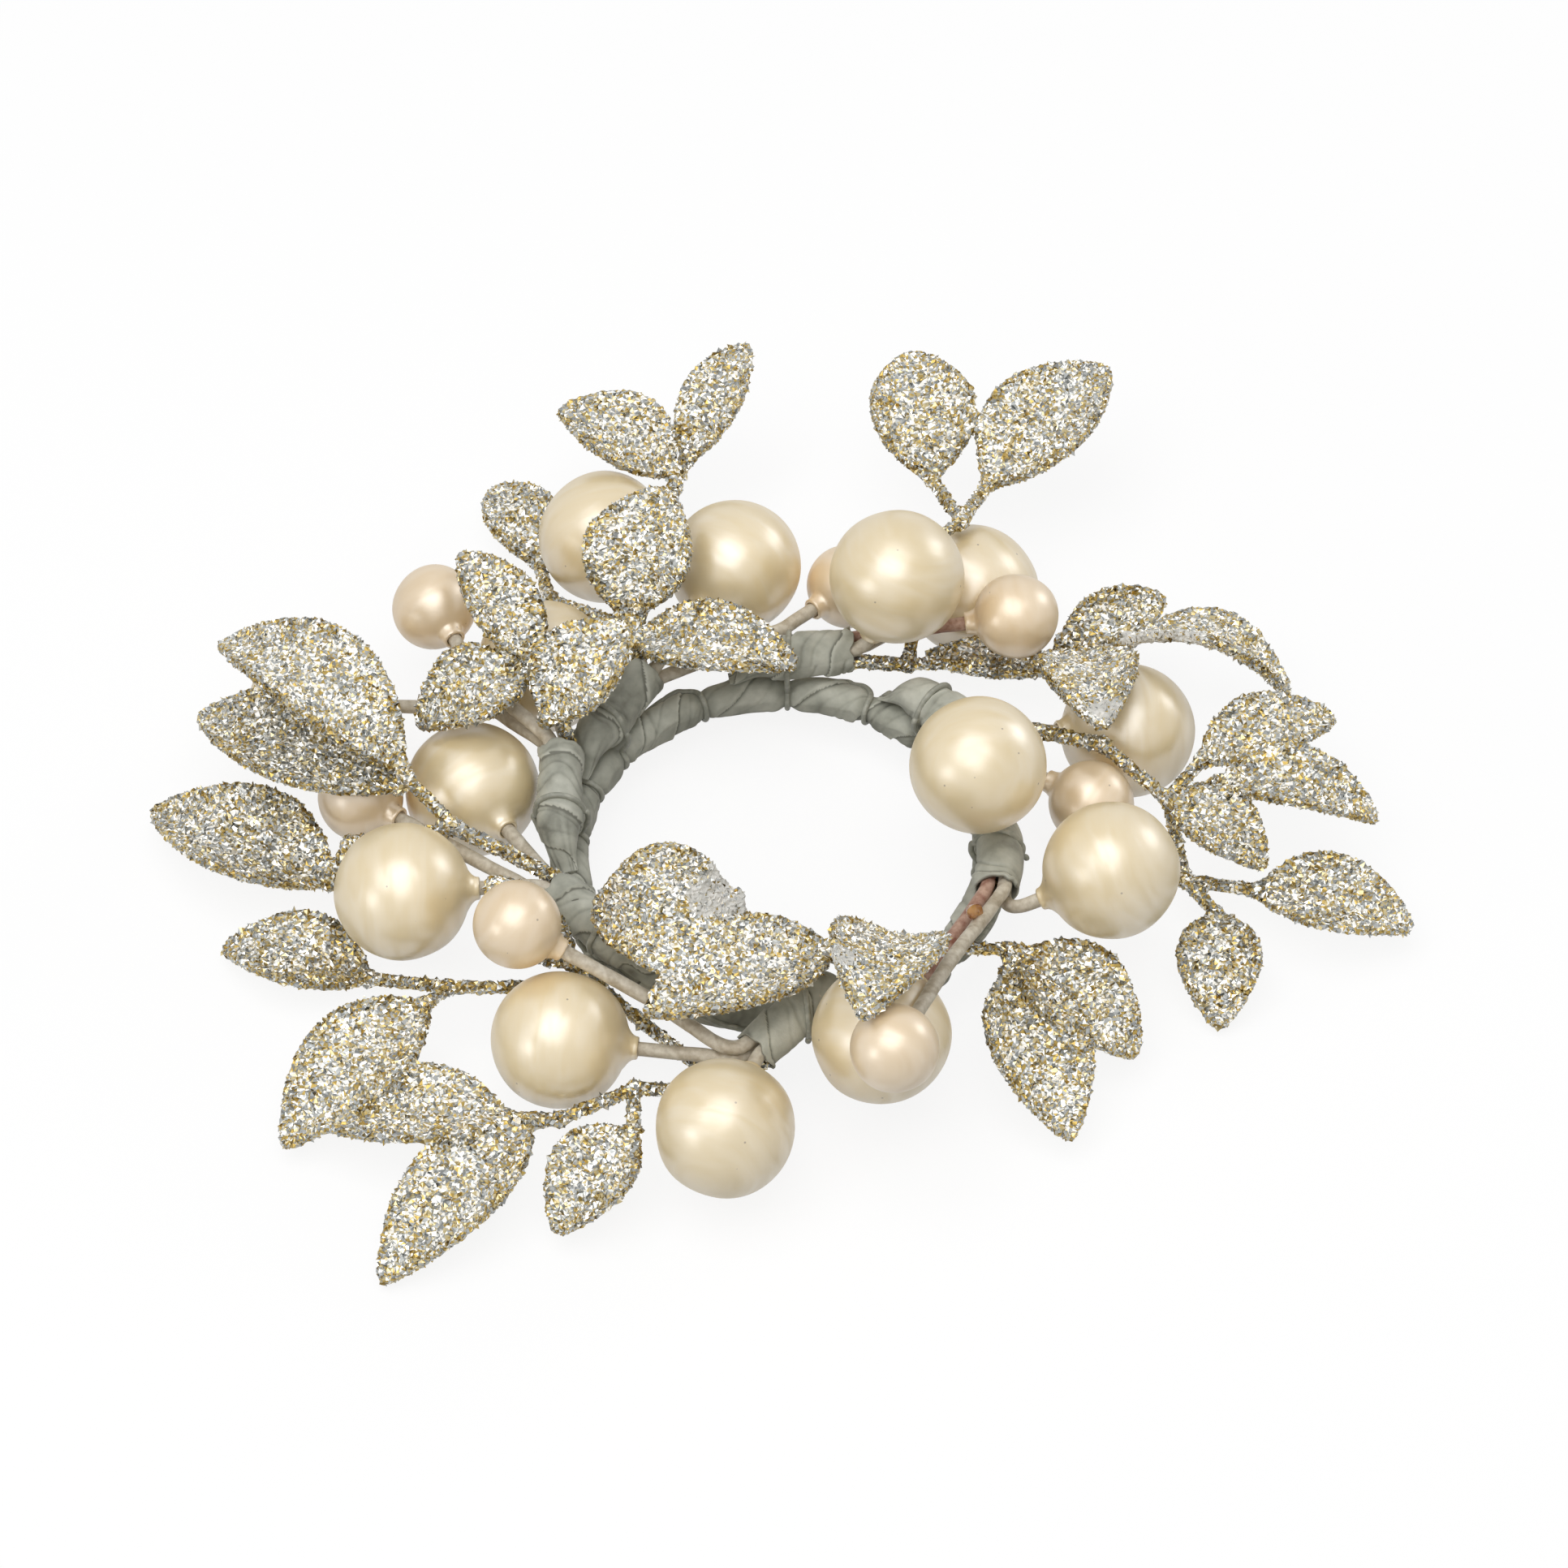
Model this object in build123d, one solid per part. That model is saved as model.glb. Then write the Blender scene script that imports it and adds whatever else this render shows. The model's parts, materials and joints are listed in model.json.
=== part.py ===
from build123d import *
import math
import os
from typing import NamedTuple

# Candle ring: a taped wire hoop that carries seven picks of pearls and glitter leaves.
# Millimetres. The origin is the centre of the candle hole, in the hoop's mid-plane; +Z is up.

# Hoop
BORE_DIAMETER = 21.0
HOOP_WIRE_DIAMETER = 1.2
HOOP_WIRE_BUTT_GAP = 0.8
HOOP_TAPE_WALL = 0.45
HOOP_TAPE_STEP = 0.12
HOOP_FLAT_DEPTH = 0.12
WIRE_CLEARANCE = 0.02

# Binding wire
BINDING_DIAMETER = 0.32
BINDING_BITE = 0.35
BINDING_CLEARANCE = 0.08
BINDING_SLACK = 0.3
BINDING_RAMP = 0.9
BINDING_WIDE_SPAN = 60.0
HOOK_RADIUS = 0.7
HOOK_ADVANCE = 1.5
HOOK_STANDOFF = 0.35

# Pick tapes and stems
STEM_DIAMETER = 0.8
STEM_CLEARANCE = 0.06
STEM_BEND_RADIUS = 1.0
STEM_MOST_TURN = 120.0
PICK_TAPE_WALL = 0.2
PICK_TAPE_STEP = 0.1
PICK_TAIL_LENGTH = 1.9
PICK_TAIL_CAP = 1.1
PICK_TAIL_DIAMETER = 0.9
SEAT_CLEARANCE = 0.1
TAPE_EDGE_TILT = 28.0

# Pearls
LARGE_PEARL_DIAMETER = 7.4
SMALL_PEARL_DIAMETER = 4.7
TEAT_LENGTH = 0.5
TEAT_WALL = 0.22
TEAT_SPREAD = 18.0
PEARL_HOLE_DEPTH = 2.0

# Leaves
LEAF_THICKNESS = 0.6
LEAF_BASE_WIDTH = 0.5
LEAF_TIP_WIDTH = 0.5
LEAF_CUP = 0.28
LEAF_SKEW = 0.85
LEAF_ROUNDNESS = 0.8
LEAF_SECTIONS = 7
SPRAY_JOINT_DIAMETER = 1.0
SPRAY_TWIG_DIAMETER = 0.7

# The hoop, seat and pearls that the places of pearls and leaves below are measured on
LAYOUT_HOOP_RADIUS = 11.43
LAYOUT_SEAT_DISTANCE = 2.46
LAYOUT_LARGE_PEARL = 7.4
LAYOUT_SMALL_PEARL = 4.7

# Sizes that follow
HOOP_STRAND_RADIUS = HOOP_WIRE_DIAMETER / 2 + HOOP_TAPE_WALL
HOOP_WAIST_RADIUS = HOOP_STRAND_RADIUS - BINDING_BITE
HOOP_RADIUS = BORE_DIAMETER / 2 + HOOP_STRAND_RADIUS - HOOP_FLAT_DEPTH
STEM_RADIUS = STEM_DIAMETER / 2
LANE_OFFSET = (STEM_RADIUS + STEM_CLEARANCE) * math.sqrt(2)
PICK_BORE_RADIUS = LANE_OFFSET + STEM_RADIUS + STEM_CLEARANCE
PICK_TAPE_RADIUS = PICK_BORE_RADIUS + PICK_TAPE_WALL
SEAT_DISTANCE = HOOP_STRAND_RADIUS + PICK_TAPE_RADIUS + SEAT_CLEARANCE
BINDING_RADIUS = BINDING_DIAMETER / 2
PEARL_GROWTH = max(1.0, LARGE_PEARL_DIAMETER / LAYOUT_LARGE_PEARL, SMALL_PEARL_DIAMETER / LAYOUT_SMALL_PEARL)
UP = Vector(0, 0, 1)


class Pearl(NamedTuple):
    """A pearl by its centre (bearing, reach from the layout hoop, rise) and any place its stem goes round by."""
    name: str
    diameter: float
    centre: tuple
    detour: list


class Leaf(NamedTuple):
    """A leaf blade: the joint it grows from, its foot, and how it points and curves."""
    joint: str
    foot: tuple
    heading: float
    climb: float
    length: float
    width: float
    roll: float = 0.0
    arch: float = 0.8


class Pick(NamedTuple):
    """A bunch: where its tape sits on the hoop, how it leans, and what its stems carry."""
    name: str
    bearing: float
    lean: float
    yaw: float
    pitch: float
    mouth_length: float
    lanes: tuple
    pearls: list
    joints: dict
    twigs: list
    leaves: list


def large(letter, centre, *detour):
    return Pearl("large_pearl_" + letter, LARGE_PEARL_DIAMETER, centre, detour)


def small(centre, *detour):
    return Pearl("small_pearl", SMALL_PEARL_DIAMETER, centre, detour)


# Picks, in the order in which the binding wire meets them, clockwise seen from above
PICKS = [
    Pick("right_pick", 352, 77, 4, 6, 3.4, (3, 1, 0, 2),
         [large("a", (343.1, 7.1, 5.0)), large("b", (289.2, 4.8, 3.4)),
          small((286.4, 9.6, 8.45), (304.6, 4.0, 5.9))],
         {"fork": (318, 1.0, 2.0), "bend": (288, -0.4, 3.7), "end": (259, -1.6, 5.0), "side": (326, 3.4, 1.8)},
         [["fork", "bend", "end"], ["fork", "side"]],
         [Leaf("end", (254, -3.0, 6.0), 184, -8, 7.8, 7.0, -40, 2.2),
          Leaf("bend", (284.5, -0.6, 4.6), 205, 1, 10.9, 6.0),
          Leaf("bend", (302, 0.7, 5.0), 258, 31, 12.0, 6.2, 0, 1.4),
          Leaf("side", (327, 3.9, 1.6), 321, -18, 8.4, 5.6),
          Leaf("side", (321.5, 4.1, 1.4), 290, -16, 10.0, 5.6)]),
    Pick("front_pick", 276, 66, 42, -6, 4.0, (2, 0, 1, 3),
         [large("a", (230.4, 7.0, 1.5)), large("b", (261.9, 9.4, 2.2)),
          small((216.6, 6.0, 6.5), (243.5, 2.8, 2.6))],
         {"start": (261, 5.2, -0.3), "fork": (246, 7.6, 1.4), "outer": (238, 10.7, 0.5), "back": (226, 2.6, 0.8),
          "side": (209, 9.0, 0.6)},
         [["start", "fork", "outer"], ["start", "back", "side"]],
         [Leaf("side", (198.6, 12.1, -1.7), 163, -3, 8.4, 5.0),
          Leaf("side", (211, 10.8, 1.0), 225, -15, 10.8, 5.8),
          Leaf("outer", (232, 12.2, 0.5), 175, -8, 11.0, 5.2),
          Leaf("outer", (235, 11.8, 0.5), 227, -15, 11.6, 5.4),
          Leaf("fork", (248.5, 9.8, 0.8), 230, -22, 6.8, 4.8),
          Leaf("back", (220, 3.2, 2.0), 138, 20, 6.5, 3.2, -30)]),
    Pick("front_left_pick", 220, 75, 6, 5, 4.0, (2, 0, 3, 1),
         [large("a", (166.6, 6.0, 0.5)), large("b", (194, 9.6, 2.8)), small((172.5, 11.8, 1.0))],
         {"fork": (182, 6.2, 2.8), "side": (181.5, 12.1, 1.5), "high": (176, 8.9, 4.5)},
         [["fork", "side"], ["fork", "high"]],
         [Leaf("high", (175, 9.2, 5.0), 139, 0, 13.6, 6.0, 0, 2.8),
          Leaf("high", (176.5, 9.4, 4.0), 150, -7, 13.0, 7.2),
          Leaf("side", (185.5, 13.2, 0.2), 148, -7, 12.0, 6.4)]),
    Pick("left_pick", 176, 75, 4, 5, 4.0, (2, 3, 0, 1),
         [large("a", (137.4, 6.5, 1.5)), large("b", (158.5, 16.3, 0.5), (152, 6.5, 2.2)),
          small((141.8, 13.1, 3.0), (150.2, 7.7, 3.4))],
         {"crown": (150.5, 3.1, 5.1)},
         [["crown"]],
         [Leaf("crown", (146, 4.8, 5.2), 124, 16, 7.8, 4.0),
          Leaf("crown", (149.5, 4.7, 5.2), 200, -14, 6.6, 5.4),
          Leaf("crown", (158, 2.4, 5.0), 46, 22, 7.0, 5.4)]),
    Pick("back_left_pick", 143, 75, 4, 5, 3.8, (3, 1, 2, 0),
         [large("a", (114.6, 12.5, 1.5)), large("b", (98.1, 7.0, 3.0)), small((78.2, 7.0, 1.5), (90, 2.9, 2.0))],
         {"fork": (122, 3.6, 3.8), "gap": (107.9, 9.4, 4.6), "top": (104, 13.4, 3.0), "side": (125.5, 10.9, 0.2)},
         [["fork", "gap", "top"], ["fork", "side"]],
         [Leaf("top", (103.5, 14.3, 3.3), 153, 13, 7.5, 5.2),
          Leaf("top", (101.5, 15.4, 3.0), 64, 15, 8.0, 3.6),
          Leaf("side", (121.4, 15.0, -1.6), 110, -5, 6.8, 4.2),
          Leaf("fork", (122.5, 4.7, 4.0), 71, 30, 7.6, 6.2),
          Leaf("fork", (124, 3.0, 3.8), 344, 6, 9.4, 5.0)]),
    Pick("back_pick", 88, 75, 6, 5, 3.6, (1, 3, 0, 2),
         [large("a", (64.3, 3.3, 7.7)), large("b", (60, 10.1, 0.5)), small((46.2, 7.4, 4.0))],
         {"fork": (60, 2.6, 1.6), "gap": (65.3, 8.8, 5.0), "crown": (63, 10.8, 5.0), "side": (41.5, 9.0, 0.5),
          "far": (35, 11.6, 2.4)},
         [["fork", "gap", "crown"], ["fork", "side", "far"]],
         [Leaf("crown", (70.8, 14.4, 3.5), 97, 7, 8.8, 6.0),
          Leaf("crown", (64, 15.2, 3.5), 49, 6, 10.6, 6.2),
          Leaf("side", (42, 9.7, 1.2), 25, 6, 6.4, 3.4, 30),
          Leaf("side", (36, 9.0, 2.6), 276, 24, 9.5, 5.4),
          Leaf("side", (40, 8.4, 0.6), 172, -2, 7.2, 2.8, 0, 0.2),
          Leaf("far", (34, 12.0, 2.6), 340, -7, 9.4, 5.0, -30, 1.8)]),
    Pick("back_right_pick", 45, 78, 4, 5, 2.6, (1, 3, 2, 0),
         [large("a", (358.4, -0.8, 7.7)), large("b", (23.3, 9.5, 0.5)), small((7.4, 5.7, 1.5))],
         {"gap": (14.3, 6.7, 3.8), "crown": (5.6, 9.8, 2.0), "side": (354.8, 10.7, 0.0)},
         [["gap", "crown", "side"]],
         [Leaf("side", (350.5, 12.6, -0.5), 270, -18, 6.6, 4.6),
          Leaf("side", (354, 14.6, 0.0), 348, -7, 8.7, 5.2),
          Leaf("crown", (3.3, 10.0, 2.8), 324, -12, 6.2, 4.2),
          Leaf("crown", (5.8, 12.6, 3.0), 351, -10, 8.9, 4.2, 0, 1.6),
          Leaf("crown", (12, 12.2, 2.0), 22, 0, 8.0, 4.4)]),
]


def polar(bearing):
    """Unit vector in the hoop's plane at a bearing in degrees."""
    turn = math.radians(bearing)
    return Vector(math.cos(turn), math.sin(turn), 0)


def clockwise(bearing):
    """Direction along the hoop at a bearing, clockwise seen from above."""
    return polar(bearing - 90)


def ring_point(bearing, reach, rise):
    """Point at a bearing, a reach out from the hoop's centre line and a rise above its plane."""
    return polar(bearing) * (HOOP_RADIUS + reach) + UP * rise


def slant(heading, climb):
    """Unit vector that points at a heading in plan and climbs by an angle."""
    return polar(heading) * math.cos(math.radians(climb)) + UP * math.sin(math.radians(climb))


def across(line):
    """Level direction square to a line."""
    return UP.cross(line).normalized()


def section(centre, normal, radius, tilt=0.0):
    """Round section of a taped strand; a tilted one is the slanting edge of a turn of tape."""
    side = across(normal)
    leaning = normal.rotate(Axis((0, 0, 0), side), tilt)
    stretch = radius / math.cos(math.radians(tilt))
    plane = Plane(origin=centre, x_dir=side, z_dir=leaning)
    return plane * Ellipse(radius, stretch)


def tube(path, radius):
    """Round tube along a path of lines and tangent arcs."""
    start = Plane(origin=path @ 0, z_dir=path % 0)
    return sweep(start * Circle(radius), path=path)


def tangent_arc(start, direction, end):
    """Arc that leaves a point in a direction and ends at another, or the line if that is straight."""
    if direction.get_angle((end - start)) < 0.05:
        return Edge.make_line(start, end)
    return Edge.make_tangent_arc(start, direction, end)


def bent_tube(points, radius):
    """Round tube along straight runs between points, with a rounded bend at each point between."""
    edges = []
    begin = points[0]
    for corner, following in zip(points[1:], points[2:]):
        arriving = (corner - begin).normalized()
        leaving = (following - corner).normalized()
        turn = arriving.get_angle(leaving)
        if turn < 0.5:
            continue
        setback = STEM_BEND_RADIUS * math.tan(math.radians(turn / 2))
        first = corner - arriving * setback
        last = corner + leaving * setback
        edges += [Edge.make_line(begin, first), tangent_arc(first, arriving, last)]
        begin = last
    edges.append(Edge.make_line(begin, points[-1]))
    return tube(Wire(edges), radius)


def biarc(start, start_way, end, end_way):
    """Two tangent arcs between two points with a direction at each."""
    gap = end - start
    ways = start_way + end_way
    bend = 2 * (1 - start_way.dot(end_way))
    if bend < 1e-9:
        reach = gap.dot(gap) / (2 * gap.dot(ways))
    else:
        reach = (math.sqrt(gap.dot(ways) ** 2 + bend * gap.dot(gap)) - gap.dot(ways)) / bend
    middle = (start + start_way * reach + end - end_way * reach) * 0.5
    first = tangent_arc(start, start_way, middle)
    return [first, tangent_arc(middle, first % 1, end)]


def hoop_wire():
    """The hidden steel ring, its ends nearly meeting."""
    turn = 360 - math.degrees(HOOP_WIRE_BUTT_GAP / HOOP_RADIUS)
    path = CenterArc((0, 0, 0), HOOP_RADIUS, 0, turn)
    return tube(path, HOOP_WIRE_DIAMETER / 2)


def hoop_bearings(pick, following):
    """Bearings of the turns that bind the hoop alone, between one pick and the following one."""
    span = (pick.bearing - following.bearing) % 360
    shares = [0.55] if span < BINDING_WIDE_SPAN else [0.42, 0.72]
    return [pick.bearing - span * share for share in shares]


def tape_turn(first, last):
    """Hoop tape between two turns of the binding wire, drawn in at both by the wire."""
    ramp = math.degrees(BINDING_RAMP / HOOP_RADIUS)
    inset = HOOP_STRAND_RADIUS - HOOP_TAPE_STEP
    edge = (first + last) / 2
    edge_foot = edge + math.degrees(HOOP_TAPE_STEP / HOOP_RADIUS)
    room = math.radians(edge - first - ramp) * HOOP_RADIUS
    tilt = min(TAPE_EDGE_TILT, math.degrees(math.atan(room / HOOP_STRAND_RADIUS / 2)))
    stations = [(first, HOOP_WAIST_RADIUS, 0), (first + ramp, HOOP_STRAND_RADIUS, 0)]
    stations += [(edge, HOOP_STRAND_RADIUS, tilt), (edge_foot, inset, tilt)]
    stations += [(last - ramp, HOOP_STRAND_RADIUS, 0), (last, HOOP_WAIST_RADIUS, 0)]
    rings = [section(ring_point(b, 0, 0), clockwise(b) * -1, r, tilt) for b, r, tilt in stations]
    return loft(rings, ruled=True)


def hoop_tape():
    """Crepe tape on the hoop wire, waisted under the binding wire and pressed flat inside."""
    bearings = [pick.bearing for pick in PICKS]
    for pick, following in zip(PICKS, PICKS[1:]):
        bearings += hoop_bearings(pick, following)
    bearings = sorted(bearing % 360 for bearing in bearings)
    following = bearings[1:] + [bearings[0] + 360]
    turns = [tape_turn(first, last) for first, last in zip(bearings, following)]
    strand = turns[0] + turns[1:]
    former = Cylinder(BORE_DIAMETER / 2, 4 * HOOP_STRAND_RADIUS)
    core = Torus(HOOP_RADIUS, HOOP_WIRE_DIAMETER / 2 + WIRE_CLEARANCE)
    return strand - former - core


class Seat:
    """Where a pick's tape lies on the hoop: its axis, tail, mouth and lanes for the stems."""

    def __init__(self, pick):
        out = polar(pick.bearing)
        lean = math.radians(pick.lean)
        yaw = math.radians(pick.yaw)
        pitch = math.radians(pick.pitch)
        level = clockwise(pick.bearing) * math.cos(yaw) + out * math.sin(yaw)
        self.toward = out * math.cos(lean) + UP * math.sin(lean)
        self.axis = level * math.cos(pitch) + UP * math.sin(pitch)
        self.centre = ring_point(pick.bearing, 0, 0) + self.toward * SEAT_DISTANCE
        self.tail = self.centre - self.axis * PICK_TAIL_LENGTH
        self.mouth = self.centre + self.axis * pick.mouth_length
        self.length = PICK_TAIL_LENGTH + pick.mouth_length
        self.side = across(self.axis)
        self.top = self.axis.cross(self.side)
        self.shift = out * max(0.0, HOOP_RADIUS - LAYOUT_HOOP_RADIUS)
        self.shift += self.toward * (SEAT_DISTANCE - LAYOUT_SEAT_DISTANCE)

    def place(self, bearing, reach, rise):
        """Point of the pick, measured on the layout hoop; larger pearls spread it, a larger hoop moves it out."""
        measured = polar(bearing) * (LAYOUT_HOOP_RADIUS + reach) + UP * rise
        return measured * PEARL_GROWTH + self.shift

    def lane(self, number):
        """Offset of a stem from the pick's axis, in one of four lanes."""
        turn = math.radians(45 + 90 * number)
        return (self.side * math.cos(turn) + self.top * math.sin(turn)) * LANE_OFFSET

    def knee(self, lane, target):
        """Point beyond the mouth where a stem in a lane turns towards its target."""
        ahead = STEM_BEND_RADIUS
        for _ in range(8):
            corner = self.mouth + self.lane(lane) + self.axis * ahead
            turn = min(self.axis.get_angle(target - corner), STEM_MOST_TURN)
            ahead = STEM_BEND_RADIUS * math.tan(math.radians(turn / 2)) + STEM_CLEARANCE
        return self.mouth + self.lane(lane) + self.axis * ahead

    def start(self, lane):
        """Where a stem in a lane begins, just off the blind end of the pick tape."""
        return self.tail + self.axis * (PICK_TAIL_CAP + STEM_CLEARANCE) + self.lane(lane)


def wound_arc(bearing, centre, radius, first, last):
    """Arc in the upright plane at a bearing, between two angles round a centre (reach, rise)."""
    places = []
    for angle in (first, (first + last) / 2, last):
        turn = math.radians(angle)
        reach = centre[0] + radius * math.cos(turn)
        places.append(ring_point(bearing, reach, centre[1] + radius * math.sin(turn)))
    return Edge.make_three_point_arc(*places)


def hoop_turn(bearing):
    """Half a turn of binding wire over, inside and under the hoop."""
    radius = HOOP_WAIST_RADIUS + BINDING_CLEARANCE + BINDING_RADIUS
    return [wound_arc(bearing, (0, 0), radius, 90, 180), wound_arc(bearing, (0, 0), radius, 180, 270)]


def seat_turn(pick, bearing, standoff=0.0):
    """A turn of binding wire over a pick tape, then inside and under the hoop."""
    lean = math.radians(pick.lean)
    lower = HOOP_WAIST_RADIUS + BINDING_CLEARANCE + BINDING_RADIUS
    upper = PICK_TAPE_RADIUS / math.cos(math.radians(pick.yaw)) + BINDING_CLEARANCE + BINDING_RADIUS + standoff
    crown = (SEAT_DISTANCE * math.cos(lean), SEAT_DISTANCE * math.sin(lean))
    spread = math.degrees(math.acos((lower - upper) / SEAT_DISTANCE))
    outer = pick.lean - spread
    inner = pick.lean + spread
    over = [wound_arc(bearing, crown, upper, outer, pick.lean), wound_arc(bearing, crown, upper, pick.lean, inner)]
    under = wound_arc(bearing, (0, 0), lower, inner, 270)
    return over + [Edge.make_line(over[-1] @ 1, under @ 0), under]


def advance(edges, bearing, entry):
    """Run of binding wire along the outside of the hoop, from the last edge to the next turn's entry."""
    start = edges[-1] @ 1
    end = entry @ 0
    way = (end - start).normalized()
    middle = ring_point(bearing, HOOP_STRAND_RADIUS + BINDING_DIAMETER + BINDING_SLACK, (start.Z + end.Z) / 2)
    return biarc(start, edges[-1] % 1, middle, way) + biarc(middle, way, end, entry % 0)


def binding_route():
    """Edges of the binding wire: a turn at each pick, turns on the hoop between, and a hooked end."""
    last = PICKS[-1]
    turns = []
    for pick, following in zip(PICKS, PICKS[1:]):
        turns.append((pick.bearing, seat_turn(pick, pick.bearing)))
        turns += [(bearing, hoop_turn(bearing)) for bearing in hoop_bearings(pick, following)]
    turns.append((last.bearing, seat_turn(last, last.bearing)))
    edges = list(turns[0][1])
    for (before, _), (after, turn) in zip(turns, turns[1:]):
        span = (before - after) % 360
        edges += advance(edges, before - span / 2, turn[0]) + turn
    hook_bearing = last.bearing - math.degrees(HOOK_ADVANCE / HOOP_RADIUS)
    lift = seat_turn(last, hook_bearing, HOOK_STANDOFF)[0]
    edges += advance(edges, (last.bearing + hook_bearing) / 2, lift)
    crest = edges[-1] @ 1 + (lift % 0) * HOOK_RADIUS + polar(hook_bearing) * HOOK_RADIUS
    hook = tangent_arc(edges[-1] @ 1, lift % 0, crest)
    return edges + [hook]


def least_gap(edges):
    """Least clear distance between parts of the binding wire that lie more than a loop's width apart."""
    points = []
    for edge in edges:
        steps = max(2, round(edge.length / BINDING_RADIUS))
        points += [edge @ (step / steps) for step in range(steps)]
    apart = round(2 * math.pi * HOOP_STRAND_RADIUS / BINDING_RADIUS / 2)
    gaps = []
    for index, point in enumerate(points):
        gaps += [(point - other).length for other in points[index + apart:]]
    return min(gaps) - BINDING_DIAMETER


def binding_wire():
    """One unbroken painted wire that binds the picks to the hoop."""
    edges = binding_route()
    print("binding wire: least gap to itself", round(least_gap(edges), 2), "mm")
    return tube(Wire(edges), BINDING_RADIUS)


def pick_tape(seat):
    """Tape round the four stems: a twisted tail, two overlapping turns and an open mouth."""
    inset = PICK_TAPE_RADIUS - PICK_TAPE_STEP
    stations = [(0, PICK_TAIL_DIAMETER / 2, 0), (PICK_TAIL_CAP * 0.9, PICK_TAPE_RADIUS, 0)]
    stations += [(seat.length * 0.52, PICK_TAPE_RADIUS, TAPE_EDGE_TILT)]
    stations += [(seat.length * 0.52 + PICK_TAPE_STEP, inset, TAPE_EDGE_TILT)]
    stations += [(seat.length, PICK_TAPE_RADIUS, 0)]
    rings = [section(seat.tail + seat.axis * s, seat.axis, r, tilt) for s, r, tilt in stations]
    floor = Plane(origin=seat.tail + seat.axis * PICK_TAIL_CAP, z_dir=seat.axis)
    bore = floor * Cylinder(PICK_BORE_RADIUS, seat.length, align=(Align.CENTER, Align.CENTER, Align.MIN))
    return loft(rings, ruled=True) - bore


def pearl_body(radius):
    """A dipped ball about the origin with a teat and a blind stem hole, opening towards +Z."""
    spread = math.radians(TEAT_SPREAD)
    hole = STEM_RADIUS + STEM_CLEARANCE
    tip = radius + TEAT_LENGTH
    shoulder = (radius * math.sin(spread), radius * math.cos(spread))
    lip = (hole + TEAT_WALL, tip)
    waist = ((shoulder[0] + 2 * lip[0]) / 3, (shoulder[1] + lip[1]) / 2)
    floor = tip - PEARL_HOLE_DEPTH
    outline = ThreePointArc((0, -radius), (radius, 0), shoulder) + ThreePointArc(shoulder, waist, lip)
    outline += Polyline(lip, (hole, tip), (hole, floor), (0, floor), (0, -radius))
    return revolve(Plane.XZ * make_face(outline), Axis.Z)


def stem_route(seat, pearl, lane):
    """Points a pearl's stem passes, from the pick tape to the bottom of the hole in the pearl."""
    centre = seat.place(*pearl.centre)
    detour = [seat.place(*place) for place in pearl.detour]
    knee = seat.knee(lane, (detour + [centre])[0])
    corners = [knee] + detour
    way = (centre - corners[-1]).normalized()
    perch = centre - way * (TEAT_LENGTH + pearl.diameter / 2)
    return [seat.start(lane)] + corners + [perch + way * (PEARL_HOLE_DEPTH - STEM_CLEARANCE)]


def pearl_and_stem(seat, pearl, lane):
    """A pearl in its place, and its paper-covered stem from the pick tape into the pearl's hole."""
    route = stem_route(seat, pearl, lane)
    way = (route[-1] - route[-2]).normalized()
    place = Plane(origin=seat.place(*pearl.centre), z_dir=way * -1)
    return place * pearl_body(pearl.diameter / 2), bent_tube(route, STEM_RADIUS)


def leaf_rows(seat, leaf, count):
    """Stations from a leaf's foot to its tip: centre, side and face directions, half width and cup."""
    way = slant(leaf.heading, leaf.climb)
    face = way.cross(across(way)).rotate(Axis((0, 0, 0), way), leaf.roll)
    side = face.cross(way)
    foot = seat.place(*leaf.foot)
    rows = []
    for place in range(count):
        share = place / (count - 1)
        narrow = LEAF_BASE_WIDTH * (1 - share) + LEAF_TIP_WIDTH * share
        full = math.sin(math.pi * share ** LEAF_SKEW) ** LEAF_ROUNDNESS
        half = (narrow + (leaf.width - narrow) * full) / 2
        rise = leaf.arch * 4 * share * (1 - share)
        centre = foot + way * (leaf.length * share) + face * rise
        rows.append((centre, side, face, half, LEAF_CUP * half))
    return rows


def leaf_blade(seat, leaf):
    """A cupped, arched blade, lofted through thin crescent sections from its foot to its tip."""
    top = LEAF_THICKNESS / 2
    crescents = []
    for centre, side, face, half, lift in leaf_rows(seat, leaf, LEAF_SECTIONS):
        plane = Plane(origin=centre, x_dir=side, z_dir=side.cross(face))
        upper = ThreePointArc((-half, lift + top), (0, top), (half, lift + top))
        lower = ThreePointArc((half, lift - top), (0, -top), (-half, lift - top))
        ends = Line(upper @ 1, lower @ 0) + Line(lower @ 1, upper @ 0)
        crescents.append(plane * make_face(upper + ends + lower))
    return loft(crescents)


def spray_joint(place, way):
    """A moulded bead where twigs meet or a leaf begins, its pole in the way the twig arrives."""
    return Plane(origin=place, z_dir=way) * Sphere(SPRAY_JOINT_DIAMETER / 2)


def leaf_spray(seat, pick, lane):
    """A moulded spray: one stem from the pick tape, its twigs, joints and leaves, all one piece."""
    places = {name: seat.place(*place) for name, place in pick.joints.items()}
    first = pick.twigs[0][0]
    knee = seat.knee(lane, places[first])
    stem = bent_tube([seat.start(lane), knee, places[first]], STEM_RADIUS)
    pieces = []
    for twig in pick.twigs:
        for start, end in zip(twig, twig[1:]):
            pieces.append(tube(Edge.make_line(places[start], places[end]), SPRAY_TWIG_DIAMETER / 2))
    for place in places.values():
        pieces.append(spray_joint(place, place - seat.mouth))
    for leaf in pick.leaves:
        foot = seat.place(*leaf.foot)
        pieces.append(tube(Edge.make_line(places[leaf.joint], foot), SPRAY_TWIG_DIAMETER / 2))
        pieces.append(spray_joint(foot, foot - places[leaf.joint]))
        pieces.append(leaf_blade(seat, leaf))
    return stem + pieces


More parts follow.
